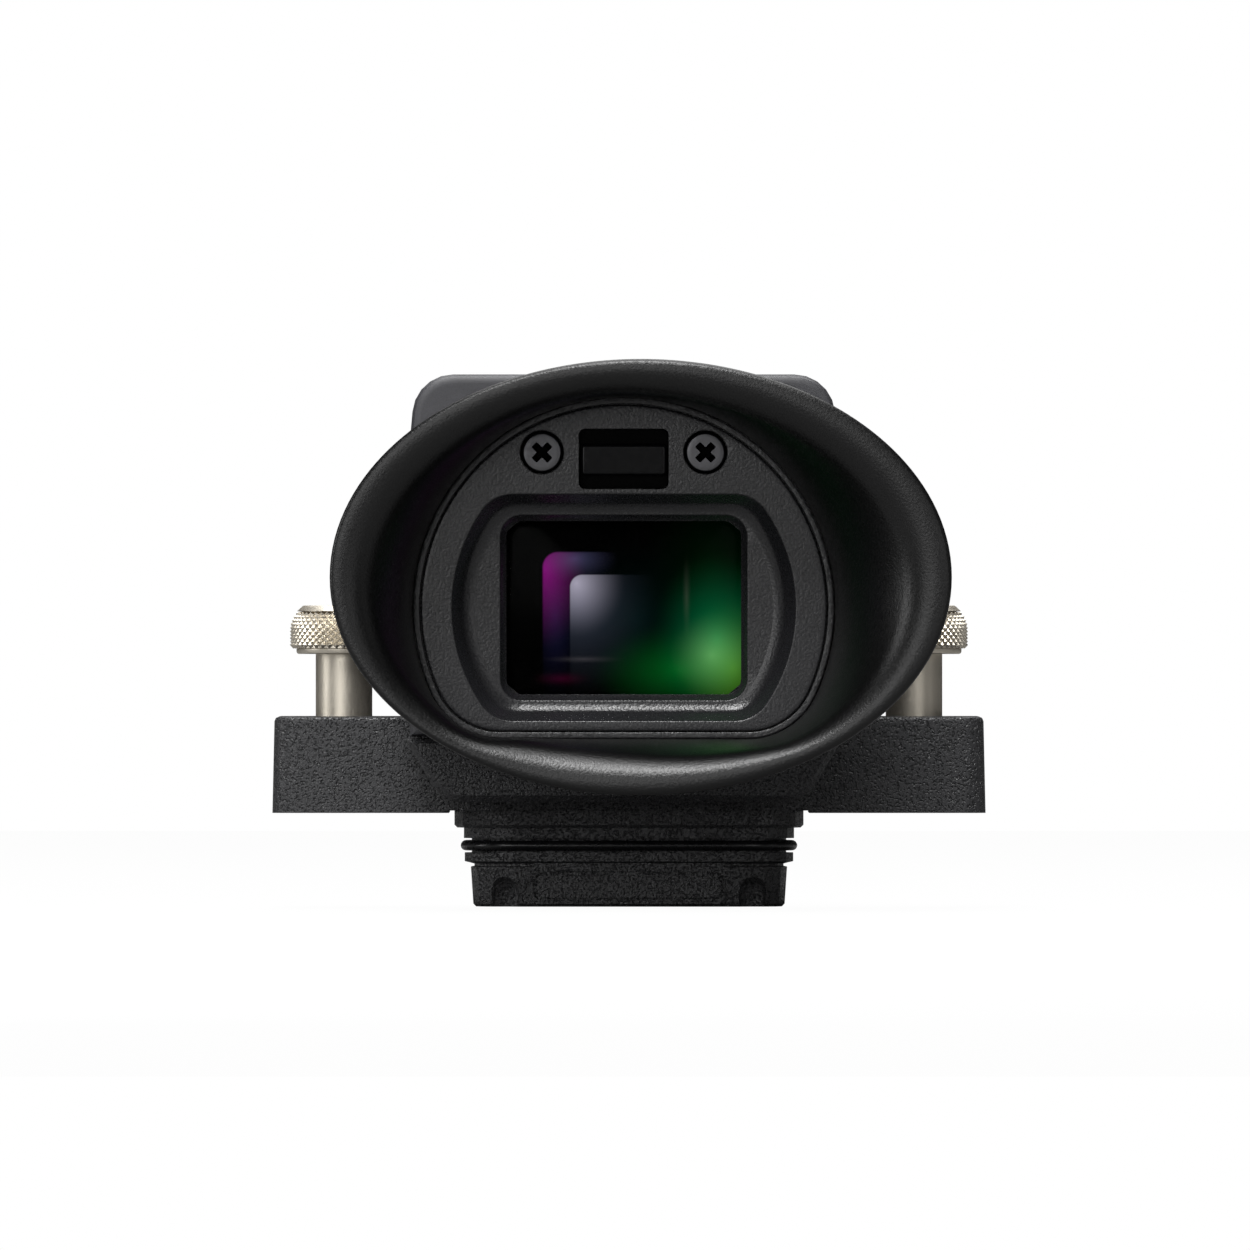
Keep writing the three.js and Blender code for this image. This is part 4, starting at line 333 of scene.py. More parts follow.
def lens_with_painted_reflections():
    material, tree, shader = finish("lens_with_painted_reflections", (0.0002, 0.0002, 0.0002), 0.15, specular=0.02)
    in_mm = calc_point(tree, "MULTIPLY", object_point(tree), (1000.0, 1000.0, 1000.0))
    point = calc_point(tree, "SUBTRACT", in_mm, tuple(AXIS))
    block = round_corner(tree, point, -10.05, 6.95, 2.0, 0.3)
    inner = round_corner(tree, point, -6.66, 4.13, 1.6, 0.2)
    masks = {"outer": calc(tree, "MULTIPLY", block, calc(tree, "SUBTRACT", 1.0, inner)), "inner": inner}
    total = None
    for color, part, *oval in PAINTED_REFLECTIONS:
        mask = glow(tree, point, *oval)
        if part in masks:
            mask = calc(tree, "MULTIPLY", masks[part], mask)
        painted_reflection = two_colors(tree, mask, (0, 0, 0), color)
        if total is None:
            total = painted_reflection
            continue
        added = node(tree, "ShaderNodeMix", settings={"data_type": "RGBA", "blend_type": "ADD"}, Factor=1.0)
        tree.links.new(total, added.inputs[COLOR_A])
        tree.links.new(painted_reflection, added.inputs[COLOR_B])
        total = added.outputs[COLOR_OUT]
    # The painted reflections are emitted, so the lens glows with them though it is no lamp.
    tree.links.new(total, shader.inputs["Emission Color"])
    shader.inputs["Emission Strength"].default_value = 1.0
    return material


def clear_glass():
    material, tree, shader = finish("window_glass", (0.0, 0.0, 0.0), 0.02, specular=0.2)
    shader.inputs["Alpha"].default_value = 0.12
    wipe = noise(tree, 220, detail=4.0, distortion=0.8)
    vary_gloss(tree, shader, wipe, 0.015, 0.05)
    return material


def dark_glass(name, color, roughness, specular=0.5):
    material, tree, shader = finish(name, color, roughness, specular=specular)
    vary_gloss(tree, shader, noise(tree, 2600, detail=4.0), roughness, roughness + 0.06)
    return material


# %% [markdown]
# ## Boards and film
# The circuit boards stay inside the barrel. They still get solder mask with darker tracks, because a
# part is seen open sooner or later, and the film its amber with copper lines.

# %% Boards and film
def tracked(name, ground, track, pitch, roughness):
    material, tree, shader = finish(name, ground, roughness, coat=0.3)
    lines = node(tree, "ShaderNodeTexWave", object_point(tree), Scale=pitch, Distortion=3.0, Detail=1.0)
    mask = between(tree, lines.outputs["Fac"], 0, 1, 0.55, 0.65)
    vary_color(tree, shader, mask, ground, track)
    bump(tree, shader, mask, 0.3, 0.03 * MM)
    return material


# %% [markdown]
# ## The finishes of this viewfinder
# One table names them all, with the colour and gloss of each. Its names are the record's slots, and a
# few finer finishes for single pieces.

# %% Table of finishes
SCREW_FACE = 45.5

FINISHES = {
    "powder_coat": powder_coat("textured_powder_coat", (0.026, 0.026, 0.028)),
    # Lighter than the bar's coat: painted light against the shade that the bar casts on the plug.
    "plug_coat_painted_light": powder_coat("plug_powder_coat_painted_light", (0.04, 0.04, 0.042)),
    # Near-lightless black that paints the shade of hollows, such as the recess of the sensor's tray.
    "cavity_black": plastic("cavity_black", (0.0006, 0.0006, 0.0006), 0.6, specular=0.04),
    "satin_plastic": plastic("satin_shell_plastic", (0.045, 0.045, 0.050), 0.45),
    "bezel_plastic": plastic("bezel_plastic", (0.016, 0.016, 0.0175), 0.27, grain=3000, strength=0.9,
                             depth=0.05, spread=0.1),
    "dark_plastic": plastic("dark_plastic", (0.009, 0.009, 0.010), 0.5),
    "ring_plastic": plastic("bead_plastic", (0.02, 0.02, 0.021), 0.34, grain=2400, strength=1.0,
                            depth=0.12),
    "cap_plastic": plastic("cap_plastic", (0.016, 0.016, 0.017), 0.4),
    "soft_rubber": soft_rubber(),
    "seal_rubber": seal_rubber(),
    "champagne_plate": metal("champagne_plate", (0.66, 0.61, 0.52), 0.42),
    "steel": metal("plain_steel", (0.5, 0.51, 0.52), 0.3, stretch=(1, 1, 0.1)),
    "rubbed_screws": rubbed_steel_painted_shade(SCREW_FACE),
    "black_steel": metal("blackened_steel", (0.045, 0.045, 0.048), 0.42),
    "bronze": metal("bronze", (0.5, 0.34, 0.16), 0.38),
    "gold_contacts": metal("gold_plate", (0.83, 0.6, 0.24), 0.22),
    "coated_glass": lens_with_painted_reflections(),
    "window_glass": clear_glass(),
    "sensor_glass": dark_glass("sensor_glass", (0.0025, 0.0025, 0.003), 0.16, specular=0.2),
    "display_glass": dark_glass("display_glass", (0.006, 0.007, 0.010), 0.1),
    "circuit_board": tracked("circuit_board", (0.01, 0.08, 0.035), (0.012, 0.12, 0.05), 420, 0.45),
    "flex_film": tracked("flex_film", (0.35, 0.13, 0.02), (0.5, 0.25, 0.08), 900, 0.35),
}
print("finishes:", len(FINISHES))

# %% [markdown]
# ## Dressing the frame's own pieces
# The record says which slot each piece belongs to. A piece whose shape is right keeps its mesh and only
# takes the finish of its slot. Four look different from their slot: the bezel is finer-grained than the
# barrel's shell, the window is clearer than the lenses, the plug's coat is painted lighter as painted light
# against the bar's shade, and the sensor's tray gets a near-lightless black that paints the shade of its
# recess.

# %% Dress the frame
SLOT_OF = {part["node"]: part["material_slot"] for part in frame["record"]["subparts"]}
BODY_OF = {name: body for body, names in frame["record"]["behaviour"]["bodies"].items() for name in names}
# The plug's finish is painted lighter against the bar's shade, and the sensor's tray gets a black that
# paints its recess's shade.
FINISH_OF = dict(SLOT_OF, eyepiece_bezel="bezel_plastic", eyepiece_window="window_glass",
                 plug_housing="plug_coat_painted_light", sensor_tray="cavity_black")


def dress(piece, finish_name):
    piece.data.materials.clear()
    piece.data.materials.append(FINISHES[finish_name])


for name, cad_piece in nodes.items():
    dress(cad_piece, FINISH_OF[name])
print("slots dressed:", sorted(set(FINISH_OF.values())))

# %% [markdown]
# ## Making pieces again
# A refined piece is a plain mesh in place, in the frame's own coordinates. The helpers below turn lists
# of points in millimetres into such a mesh, carve one shape out of another, and settle a stack of
# modifiers into the mesh, so that nothing live is left on it.

# %% Helpers for pieces
def settle(piece):
    depsgraph = bpy.context.evaluated_depsgraph_get()
    settled = bpy.data.meshes.new_from_object(piece.evaluated_get(depsgraph), depsgraph=depsgraph)
    piece.modifiers.clear()
    piece.data = settled
    return piece


def bare_piece(name, points, faces=(), edges=()):
    mesh = bpy.data.meshes.new(name)
    mesh.from_pydata([Vector(point) * MM for point in points], edges, faces)
    mesh.update()
    return placed(name, mesh)


SAME_POINT = 1e-7


def outward(piece):
    """Merges doubled points and turns all faces outwards."""
    shell = bmesh.new()
    shell.from_mesh(piece.data)
    bmesh.ops.remove_doubles(shell, verts=shell.verts, dist=SAME_POINT)
    bmesh.ops.recalc_face_normals(shell, faces=shell.faces)
    shell.to_mesh(piece.data)
    shell.free()
    return piece


def carve(piece, *cutters):
    for cutter in cutters:
        boolean = piece.modifiers.new("carve", "BOOLEAN")
        boolean.operation = "DIFFERENCE"
        boolean.solver = "EXACT"
        boolean.object = cutter
    settle(piece)
    for cutter in cutters:
        bpy.data.objects.remove(cutter)
    return piece


def soften(piece, width, angle):
    edge = piece.modifiers.new("edges", "BEVEL")
    edge.width = width * MM
    edge.segments = 3
    edge.limit_method = "ANGLE"
    edge.angle_limit = math.radians(angle)
    edge.use_clamp_overlap = True
    return settle(piece)


def smooth(piece, angle=35, weighted=True):
    piece.data.shade_smooth()
    piece.data.set_sharp_from_angle(angle=math.radians(angle))
    if weighted:
        even = piece.modifiers.new("even_normals", "WEIGHTED_NORMAL")
        even.keep_sharp = True
        settle(piece)
    return piece


def finished(piece, finish_name, *stands_for):
    dress(piece, finish_name)
    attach(piece, BODY_OF[stands_for[0]])
    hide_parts(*stands_for)
    print(piece.name, "faces:", len(piece.data.polygons))
    return piece


# %% [markdown]
# Most pieces of this viewfinder are rings of outlines laid one behind the other, so a skin through
# rings comes next, with the outlines themselves: a rectangle with round corners, and a circle cut by
# flats, which is the eyepiece's own D shape and the shape of its dish. The reach of an outline is how
# far it lies from its middle at an angle.

# %% Outlines and skins
def skin(rings, closed=False):
    """Points and faces through a stack of rings, which ends in caps or, closed, in its first ring."""
    count = len(rings[0])
    points = [point for ring in rings for point in ring]
    levels = len(rings) if closed else len(rings) - 1
    faces = []
    for level in range(levels):
        here = level * count
        there = ((level + 1) % len(rings)) * count
        for index in range(count):
            after = (index + 1) % count
            faces.append((here + index, here + after, there + after, there + index))
    if not closed:
        faces.append(tuple(reversed(range(count))))
        faces.append(tuple(range((len(rings) - 1) * count, len(rings) * count)))
    return points, faces


def angles(count):
    return [2 * math.pi * index / count for index in range(count)]


CORNERS = ((-1, -1), (1, -1), (1, 1), (-1, 1))


def round_box(width, height, radius, steps=10):
    outline = []
    for corner, (sx, sy) in enumerate(CORNERS):
        for step in range(steps + 1):
            turn = math.pi / 2 * corner - math.pi + math.pi / 2 * step / steps
            outline.append((sx * (width / 2 - radius) + radius * math.cos(turn),
                            sy * (height / 2 - radius) + radius * math.sin(turn)))
    return outline


def arc_reach(side, rise, out, up, radius):
    along = out * side + up * rise
    return along + math.sqrt(max(0.0, radius ** 2 - out ** 2 - up ** 2 + along ** 2))


def flat_reach(angle, radius, top, bottom, corner):
    flat = top if math.sin(angle) >= 0 else bottom
    if flat >= radius:
        return radius
    side, rise = abs(math.cos(angle)), abs(math.sin(angle))
    up = flat - corner
    out = math.sqrt((radius - corner) ** 2 - up ** 2)
    steep = math.atan2(rise, side)
    if steep <= math.atan2(up, out):
        return radius
    if steep >= math.atan2(flat, out):
        return flat / rise
    return arc_reach(side, rise, out, up, corner)


def box_reach(angle, half_width, half_height, radius):
    side, rise = abs(math.cos(angle)), abs(math.sin(angle))
    out, up = half_width - radius, half_height - radius
    if rise * half_width <= side * up:
        return half_width / side
    if side * half_height <= rise * out:
        return half_height / rise
    return arc_reach(side, rise, out, up, radius)


def small_round(radius):
    """How far a round edge falls back and down, in five leans from its side to its top."""
    leans = [math.pi / 8 * step for step in range(5)]
    return [(radius * (1 - math.cos(lean)), radius * (1 - math.sin(lean))) for lean in leans]


def around_axis(reach_at, depth, count):
    """A ring around the optical axis, depth millimetres towards the eye."""
    return [(AXIS.x + reach_at(turn) * math.cos(turn), -depth, AXIS.z + reach_at(turn) * math.sin(turn))
            for turn in angles(count)]


# %% [markdown]
# ## Eyepiece sizes
# These are the sizes that the bezel, its ring and the eyecup share. EYE is the D outline of the bezel:
# a circle of 25.65 mm radius with a flat 15.9 mm below its centre. The flanges of the ring and of the
# eyecup reach under the bezel, to a line 1.9 mm inside that outline.

# %% Eyepiece sizes
EYE_RADIUS, EYE_DROP, EYE_CORNER = 25.65, 15.9, 9
BEZEL_FACE, BEZEL_BACK = 46, 41.6
PLATE_STEP = 0.8
FLANGE_INSIDE = -1.9
AROUND = 240


def eye_ring(grow, depth, count=AROUND):
    radius = EYE_RADIUS + grow
    return around_axis(lambda turn: flat_reach(turn, radius, radius, EYE_DROP + grow, EYE_CORNER + grow),
                       depth, count)


def eye_rings(places, count=AROUND):
    return [eye_ring(by, depth, count) for by, depth in places]


# %% [markdown]
# ## Bezel
# The bezel is one moulding: a flat D plate with a dish pressed into it, and a sloped frame around the
# window. Seen from the front its charm is in thin lines of light, where each edge turns. So the plate
# is a skin whose rings crowd together at the edges, each turned over a small radius, and nothing is
# left knife-sharp.

# %% Bezel
DISH_RADIUS, DISH_HALF, DISH_CORNER, DISH_DEPTH = 21, 13.85, 4.6, 2.3
# What one step inwards takes off the dish's half height, its radius and its corners, in millimetres.
HALF_PULL, RADIUS_PULL, CORNER_PULL = 1.9, 2.3, 0.8
# (inward, drop) of the dish's lip, where the plate turns over into it.
DISH_LIP = ((-0.09, 0), (-0.05, 0.01), (-0.01, 0.06), (0.02, 0.14), (0.09, 0.36))
# The dish's wall rises from its floor in small steps of (width, lean), in millimetres and degrees.
DISH_START = 1.2
DISH_FOOT = ((0.15, 10), (0.2, 17), (0.25, 22), (0.25, 26), (0.2, 31), (0.15, 42), (0.12, 54))
WINDOW_HALF_WIDTH, WINDOW_HALF_HEIGHT, WINDOW_CORNER = 14.35, 10.6, 1.9
# (outward, fall) of the frame that slopes from the dish's floor to the glass, and of the seat behind it.
WINDOW_FRAME = ((0.9, 0), (0.8, 0.02), (0.7, 0.12), (0.66, 0.2), (0.1, 0.94), (0.0, 1.0), (0.85, 1.0))


def dish_ring(inward, depth):
    half = DISH_HALF - HALF_PULL * inward
    radius, corner = DISH_RADIUS - RADIUS_PULL * inward, DISH_CORNER - CORNER_PULL * inward
    return around_axis(lambda turn: flat_reach(turn, radius, half, half, corner), depth, AROUND)


def window_ring(grow, depth):
    wide, high, corner = WINDOW_HALF_WIDTH + grow, WINDOW_HALF_HEIGHT + grow, WINDOW_CORNER + grow
    return around_axis(lambda turn: box_reach(turn, wide, high, corner), depth, AROUND)


def bezel_rings():
    face, floor, side = BEZEL_FACE, BEZEL_FACE - DISH_DEPTH, BEZEL_FACE - 1.8
    rings = eye_rings([(-0.3, BEZEL_BACK), (0, BEZEL_BACK + 0.3), (0, side), (-PLATE_STEP, side)])
    rings += [eye_ring(-PLATE_STEP - back, face - down) for back, down in small_round(0.25)]
    rings.append(eye_ring(-PLATE_STEP - 0.6, face))
    rings += [dish_ring(inward, face - drop) for inward, drop in DISH_LIP]
    inward, depth, foot = DISH_START, floor, []
    for width, lean in DISH_FOOT:
        foot.append((inward, depth))
        inward, depth = inward - width / HALF_PULL, depth + width * math.tan(math.radians(lean))
    rings += [dish_ring(*place) for place in reversed(foot + [(inward, depth)])]
    rings += [window_ring(outward_by, floor - fall) for outward_by, fall in WINDOW_FRAME]
    rings.append(window_ring(WINDOW_FRAME[-1][0], BEZEL_BACK))
    return rings


def upright(outline, near, far, x=0.0, z=0.0):
    """A prism of an outline in X and Z, from near to far towards the eye."""
    rings = [[(AXIS.x + x + px, -depth, AXIS.z + z + pz) for px, pz in outline] for depth in (near, far)]
    return outward(bare_piece("cutter", *skin(rings)))


def disc(radius, count=48):
    return [(radius * math.cos(turn), radius * math.sin(turn)) for turn in angles(count)]


SCREW_X, SCREW_RISE = 10, 19
WELL_RADIUS, WELL_FLOOR = 2.74, BEZEL_FACE - 1.9
SENSOR_RISE, PAST = 18.2, 1
bezel = outward(bare_piece("bezel", *skin(bezel_rings(), closed=True)))
carve(bezel, upright(round_box(11, 7.4, 0.8), BEZEL_BACK - PAST, BEZEL_FACE + PAST, z=SENSOR_RISE))
carve(bezel, *[upright(disc(WELL_RADIUS), WELL_FLOOR, BEZEL_FACE + PAST, x, SCREW_RISE)
               for x in (-SCREW_X, SCREW_X)])
soften(bezel, 0.16, angle=50)
finished(smooth(bezel), "bezel_plastic", "eyepiece_bezel")

# %% [markdown]
# ## Ring and bead
# A thin ring stands between the bezel and the rubber. Its rough, flat lip shows as a thin sparkling
# line between two dark seams. It follows the same D outline, so its section is laid around the eye ring
# by ring.

# %% Eyecup ring
RING_BACK, RING_FLANGE = 40.1, 1.2
RING_INNER, RING_OUTER = 0.3, 0.85
LIP_FACE, LIP_FOOT = BEZEL_FACE + 0.02, BEZEL_FACE - 1.3
LIP_MIDDLE, LIP_HALF, LIP_ROUND = -0.31, 0.37, 0.14


def bead_rings():
    rings = eye_rings([(FLANGE_INSIDE, RING_BACK), (RING_OUTER, RING_BACK), (RING_OUTER, LIP_FOOT),
                       (LIP_MIDDLE + LIP_HALF, LIP_FOOT)])
    for side in (1, -1):
        for back, down in small_round(LIP_ROUND)[::side]:
            rings.append(eye_ring(LIP_MIDDLE + side * (LIP_HALF - back), LIP_FACE - down))
    under, flange = LIP_FOOT - 0.35, RING_BACK + RING_FLANGE
    return rings + eye_rings([(LIP_MIDDLE - LIP_HALF, under), (RING_INNER, under), (RING_INNER, flange),
                              (FLANGE_INSIDE, flange)])


bead = outward(bare_piece("eyecup_bead", *skin(bead_rings(), closed=True)))
finished(smooth(bead), "ring_plastic", "eyecup_ring")

# %% [markdown]
# ## Eyecup
# The eyecup grips the ring with a hooked root, runs towards the eye, opens into a long oval that
# reaches further on the right, and ends in a soft roll that lies against the brow. Every point of the
# rim belongs to a point of the root at the same angle. The section between them is drawn once, as a
# curved wall and an arc for the roll, and stretched to each angle's own width and depth. The wall thins
# towards a rounded lip.

# %% Eyecup
CUP_ROOT, CUP_REACH, CUP_WING = 45.5, 66.5, 2.5
CUP_GROW, CUP_WALL, LIP_WALL = 0.2, 2.75, 1.1
RIM_X, RIM_Z, RIM_WIDE, RIM_HIGH = 2.05, 29, 37.85, 26.55
# The roll's radius grows with the way across, and is never more than most of it.
ROLL_LEAST, ROLL_SHARE, ROLL_MOST = 2.6, 0.26, 0.78
ROLL_END = math.radians(100)
# The wall's curve leaves the root straight ahead and runs into the roll. These set each end's pull.
ROOT_PULL, ROLL_PULL = 0.4, 5.5


def cup_section(across, deep, steps=12):
    """Inner points of one section as (out, forward, lean), where lean is how far the wall has turned."""
    roll = min(ROLL_MOST * across, ROLL_LEAST + ROLL_SHARE * across)
    middle_out, middle_deep = across - 0.4 * LIP_WALL + roll * math.cos(ROLL_END), deep - roll

    def on_roll(turned_by):
        return middle_out - roll * math.cos(turned_by), middle_deep + roll * math.sin(turned_by)

    lean = min(math.radians(60), 1.7 * math.atan2(middle_out - roll, middle_deep) + math.radians(8))
    end = on_roll(lean)
    first = (0.0, ROOT_PULL * end[1])
    second = (end[0] - ROLL_PULL * math.sin(lean), end[1] - ROLL_PULL * math.cos(lean))
    section = []
    for step in range(steps):
        t = step / steps
        out, forward = [3 * t * (1 - t) ** 2 * a + 3 * t * t * (1 - t) * b + t ** 3 * c
                        for a, b, c in zip(first, second, end)]
        slope_out, slope_on = [3 * (1 - t) ** 2 * a + 6 * t * (1 - t) * (b - a) + 3 * t * t * (c - b)
                               for a, b, c in zip(first, second, end)]
        section.append((out, forward, math.atan2(slope_out, slope_on)))
    for step in range(steps + 1):
        turned_by = lean + (ROLL_END - lean) * step / steps
        section.append((*on_roll(turned_by), turned_by))
    return section


def cup_column(turn):
    """All points of the eyecup at one angle, from its root round the lip and back."""
    out = EYE_RADIUS + CUP_GROW
    root = flat_reach(turn, out, out, EYE_DROP + CUP_GROW, EYE_CORNER + CUP_GROW)
    rim = 1 / math.hypot(math.cos(turn) / RIM_WIDE, math.sin(turn) / RIM_HIGH)
    start = Vector((root * math.cos(turn), root * math.sin(turn)))
    reach = Vector((RIM_X + rim * math.cos(turn), RIM_Z - AXIS.z + rim * math.sin(turn))) - start
    section = cup_section(reach.length, CUP_REACH + CUP_WING * math.cos(turn) - CUP_ROOT)
    inside = [(out, forward) for out, forward, lean in section]
    outside = []
    for index, (out, forward, lean) in enumerate(section):
        wall = CUP_WALL + (LIP_WALL - CUP_WALL) * index / (len(section) - 1)
        outside.append((out + wall * math.cos(lean), forward - wall * math.sin(lean)))
    middle = ((inside[-1][0] + outside[-1][0]) / 2, (inside[-1][1] + outside[-1][1]) / 2)
    lip = []
    for step in range(1, 6):
        bow = ROLL_END - math.pi * step / 6
        lip.append((middle[0] + LIP_WALL / 2 * math.cos(bow), middle[1] - LIP_WALL / 2 * math.sin(bow)))
    path = outside + lip + inside[::-1]
    ahead = reach.normalized()
    return [(AXIS.x + start.x + ahead.x * out, -CUP_ROOT - forward, AXIS.z + start.y + ahead.y * out)
            for out, forward in path]


# (grow, depth) of the root on the wall's outside, and of the hook on its inside.
CUP_OUTER = CUP_GROW + CUP_WALL
CUP_FOOT = ((FLANGE_INSIDE, 38.3), (CUP_OUTER, 38.3), (CUP_OUTER, 42))
CUP_HOOK = ((CUP_GROW, 44.9), (1.15, 44.9), (1.15, 40), (FLANGE_INSIDE, 39.8))


def cup_rings(count=200):
    wall = [list(level) for level in zip(*[cup_column(turn) for turn in angles(count)])]
    return eye_rings(CUP_FOOT, count) + wall + eye_rings(CUP_HOOK, count)


cup = outward(bare_piece("soft_eyecup", *skin(cup_rings(), closed=True)))
finished(smooth(cup, angle=50, weighted=False), "soft_rubber", "eyecup")

# %% [markdown]
# ## Window and first lens
# The window is a thin plate with round corners and a ground edge. Just behind it sits the first lens, whose
# crowned face fills the frame and glows with the painted reflections of its coatings.

# %% Window and first lens
GROUND, CROWN_RINGS = 0.15, 10


def crowned(name, ring_at, depth, thickness, crown):
    """A lens with ground edges, whose face rises to its middle by the crown."""
    back = depth - thickness
    rings = [ring_at(-GROUND, back), ring_at(0, back + GROUND), ring_at(0, depth - GROUND)]
    edge = ring_at(-GROUND, depth)
    for step in range(CROWN_RINGS):
        share = 1 - step / CROWN_RINGS
        rings.append([(AXIS.x + (x - AXIS.x) * share, y - crown * (1 - share ** 2),
                       AXIS.z + (z - AXIS.z) * share) for x, y, z in edge])
    return outward(bare_piece(name, *skin(rings)))


GLASS_FACE, GLASS_MARGIN = BEZEL_FACE - DISH_DEPTH - 1.15, 0.7
LENS_FACE, LENS_RADIUS, LENS_HALF, LENS_CORNER = 39.6, 17.2, 11.4, 2.3


def pane_ring(grow, depth):
    return window_ring(GLASS_MARGIN + grow, depth)


def lens_ring(grow, depth):
    radius, half = LENS_RADIUS + grow, LENS_HALF + grow
    return around_axis(lambda turn: flat_reach(turn, radius, half, half, LENS_CORNER), depth, AROUND)


window = crowned("window_pane", pane_ring, GLASS_FACE, thickness=1.2, crown=0.15)
finished(smooth(window), "window_glass", "eyepiece_window")
first_lens = crowned("first_lens", lens_ring, LENS_FACE, thickness=3.8, crown=1.2)
finished(smooth(first_lens), "coated_glass", "eye_lens")

# %% [markdown]
# ## Screws
# Cross-headed machine screws repeat: two in the bezel, four in the barrel's chin, two in the plug. One
# screw is made by turning a profile and carving the cross with its tapered arms. A Geometry Nodes tree
# then sets a copy at each point of a small carrier mesh, and its result is kept as a plain mesh.

# %% Turned pieces and a tree that sets copies
def turned(name, profile, count=48):
    """A solid of revolution about Z from (radius, height) pairs, in millimetres."""
    rings = [[(radius * math.cos(turn), radius * math.sin(turn), height) for turn in angles(count)]
             for radius, height in profile]
    return outward(bare_piece(name, *skin(rings)))


def new_tree(name, sizes):
    """Starts a Geometry Nodes tree with named inputs, and returns it with their sockets."""
    tree = bpy.data.node_groups.new(name, "GeometryNodeTree")
    tree.is_modifier = True
    face = tree.interface
    face.new_socket("Geometry", in_out="INPUT", socket_type="NodeSocketGeometry")
    face.new_socket("Geometry", in_out="OUTPUT", socket_type="NodeSocketGeometry")
    for label, (kind, value) in sizes.items():
        socket = face.new_socket(label, in_out="INPUT", socket_type="NodeSocket" + kind)
        if value is not None:
            socket.default_value = value
    return tree, tree.nodes.new("NodeGroupInput").outputs


def end_tree(tree, geometry, material):
    """Makes the copies real, because the export drops instances, and gives them their finish."""
    real = node(tree, "GeometryNodeRealizeInstances", geometry)
    coloured = node(tree, "GeometryNodeSetMaterial", real.outputs[0], Material=material)
    end = tree.nodes.new("NodeGroupOutput")
    tree.links.new(coloured.outputs[0], end.inputs[0])


def grow(piece, tree, **sizes):
    """Runs a tree on a piece with these sizes, and keeps the result as its mesh."""
    modifier = piece.modifiers.new(tree.name, "NODES")
    modifier.node_group = tree
    named = {item.name: item.identifier for item in tree.interface.items_tree if item.in_out == "INPUT"}
    for label, value in sizes.items():
        modifier[named[label.replace("_", " ")]] = value
    return settle(piece)


copies_tree, copies_in = new_tree("screws_at_points", {
    "Screw": ("Object", None), "Turn": ("Vector", (0.0, 0.0, 0.0)), "Finish": ("Material", None)})
screw_shape = node(copies_tree, "GeometryNodeObjectInfo", copies_in["Screw"])
as_turn = node(copies_tree, "FunctionNodeEulerToRotation", copies_in["Turn"])
set_screws = node(copies_tree, "GeometryNodeInstanceOnPoints", copies_in["Geometry"],
                  Instance=screw_shape.outputs["Geometry"], Rotation=as_turn.outputs[0])
end_tree(copies_tree, set_screws.outputs[0], copies_in["Finish"])


TIP = 0.001  # the radius at which a turned profile closes on its axis
# (depth, half length, half width) of a cross's arm, the last two as shares of the head's radius.
ARM_LEVELS = ((-1.0, 0.32, 0.11), (0.4, 0.68, 0.22))


def cross_screw(head, height, shank, length, skirt=0.0):
    """A pan-head screw that looks along +Z, its head's face at 0."""
    end = -height - length
    profile = [(TIP, end), (shank * 0.7, end), (shank, end + 0.3), (shank, -height)]
    profile += [(head + skirt, -height), (head + skirt, -0.75), (head, -0.7)]
    profile += [(head - back, -down) for back, down in small_round(0.25)]
    profile += [(head * 0.7, 0.0), (TIP, 0.0)]
    screw = turned("screw", profile)
    for turn in (math.pi / 4, -math.pi / 4):
        cosine, sine = math.cos(turn), math.sin(turn)
        arm = []
        for depth, half, wide in ARM_LEVELS:
            half, wide = head * half, head * wide
            arm.append([(x * cosine - y * sine, x * sine + y * cosine, depth)
                        for x, y in round_box(2 * half, 2 * wide, wide * 0.35, 3)])
        carve(screw, outward(bare_piece("cutter", *skin(arm))))
    return screw


def screws_at(name, places, screw, turn, finish_name, *stands_for):
    carrier = bare_piece(name, places)
    grow(carrier, copies_tree, Screw=screw, Turn=turn, Finish=FINISHES[finish_name])
    return finished(smooth(carrier, weighted=False), finish_name, *stands_for)


TO_EYE, DOWN = (math.radians(90), 0, 0), (math.radians(180), 0, 0)
SIDES = (("left", -1), ("right", 1))
CHIN_X, CHIN_DEPTHS, CHIN_HEIGHT = 20.3, (17.8, 30.6), 3.65
PLUG_SCREW_X, PLUG_SCREW_HEIGHT = 16, -11.35

bezel_screw = cross_screw(2.4, 1.3, 1.0, 5, skirt=0.24)
places = [(AXIS.x + way * SCREW_X, -SCREW_FACE, AXIS.z + SCREW_RISE) for side, way in SIDES]
screws_at("bezel_screws", places, bezel_screw, TO_EYE, "rubbed_screws",
          "left_bezel_screw", "right_bezel_screw")

chin_screw = cross_screw(1.7, 1.2, 0.9, 9)
places = [(AXIS.x + way * CHIN_X, -depth, CHIN_HEIGHT) for side, way in SIDES for depth in CHIN_DEPTHS]
screws_at("chin_screws", places, chin_screw, DOWN, "black_steel",
          *[f"{side}_{end}_shell_screw" for side, way in SIDES for end in ("front", "rear")])

places = [(way * PLUG_SCREW_X, 0, PLUG_SCREW_HEIGHT) for side, way in SIDES]
screws_at("plug_screws", places, chin_screw, DOWN, "black_steel", "left_plug_screw", "right_plug_screw")
for spare in (bezel_screw, chin_screw):
    bpy.data.objects.remove(spare)

# %% [markdown]
# ## Thumbscrews
# Each head is cut with a diamond knurl, 44 diamonds around in ten rows 0.4 mm apart, and its upper half
# draws in towards a crown. A tree places the diamonds by rule: the point's number gives row and column,
# every other row is shifted by half a step, and the crown gives the radius. Each diamond is a pyramid
# with four sides that faces outwards. The core under them, the flange and the smooth post are turned in
# one profile.

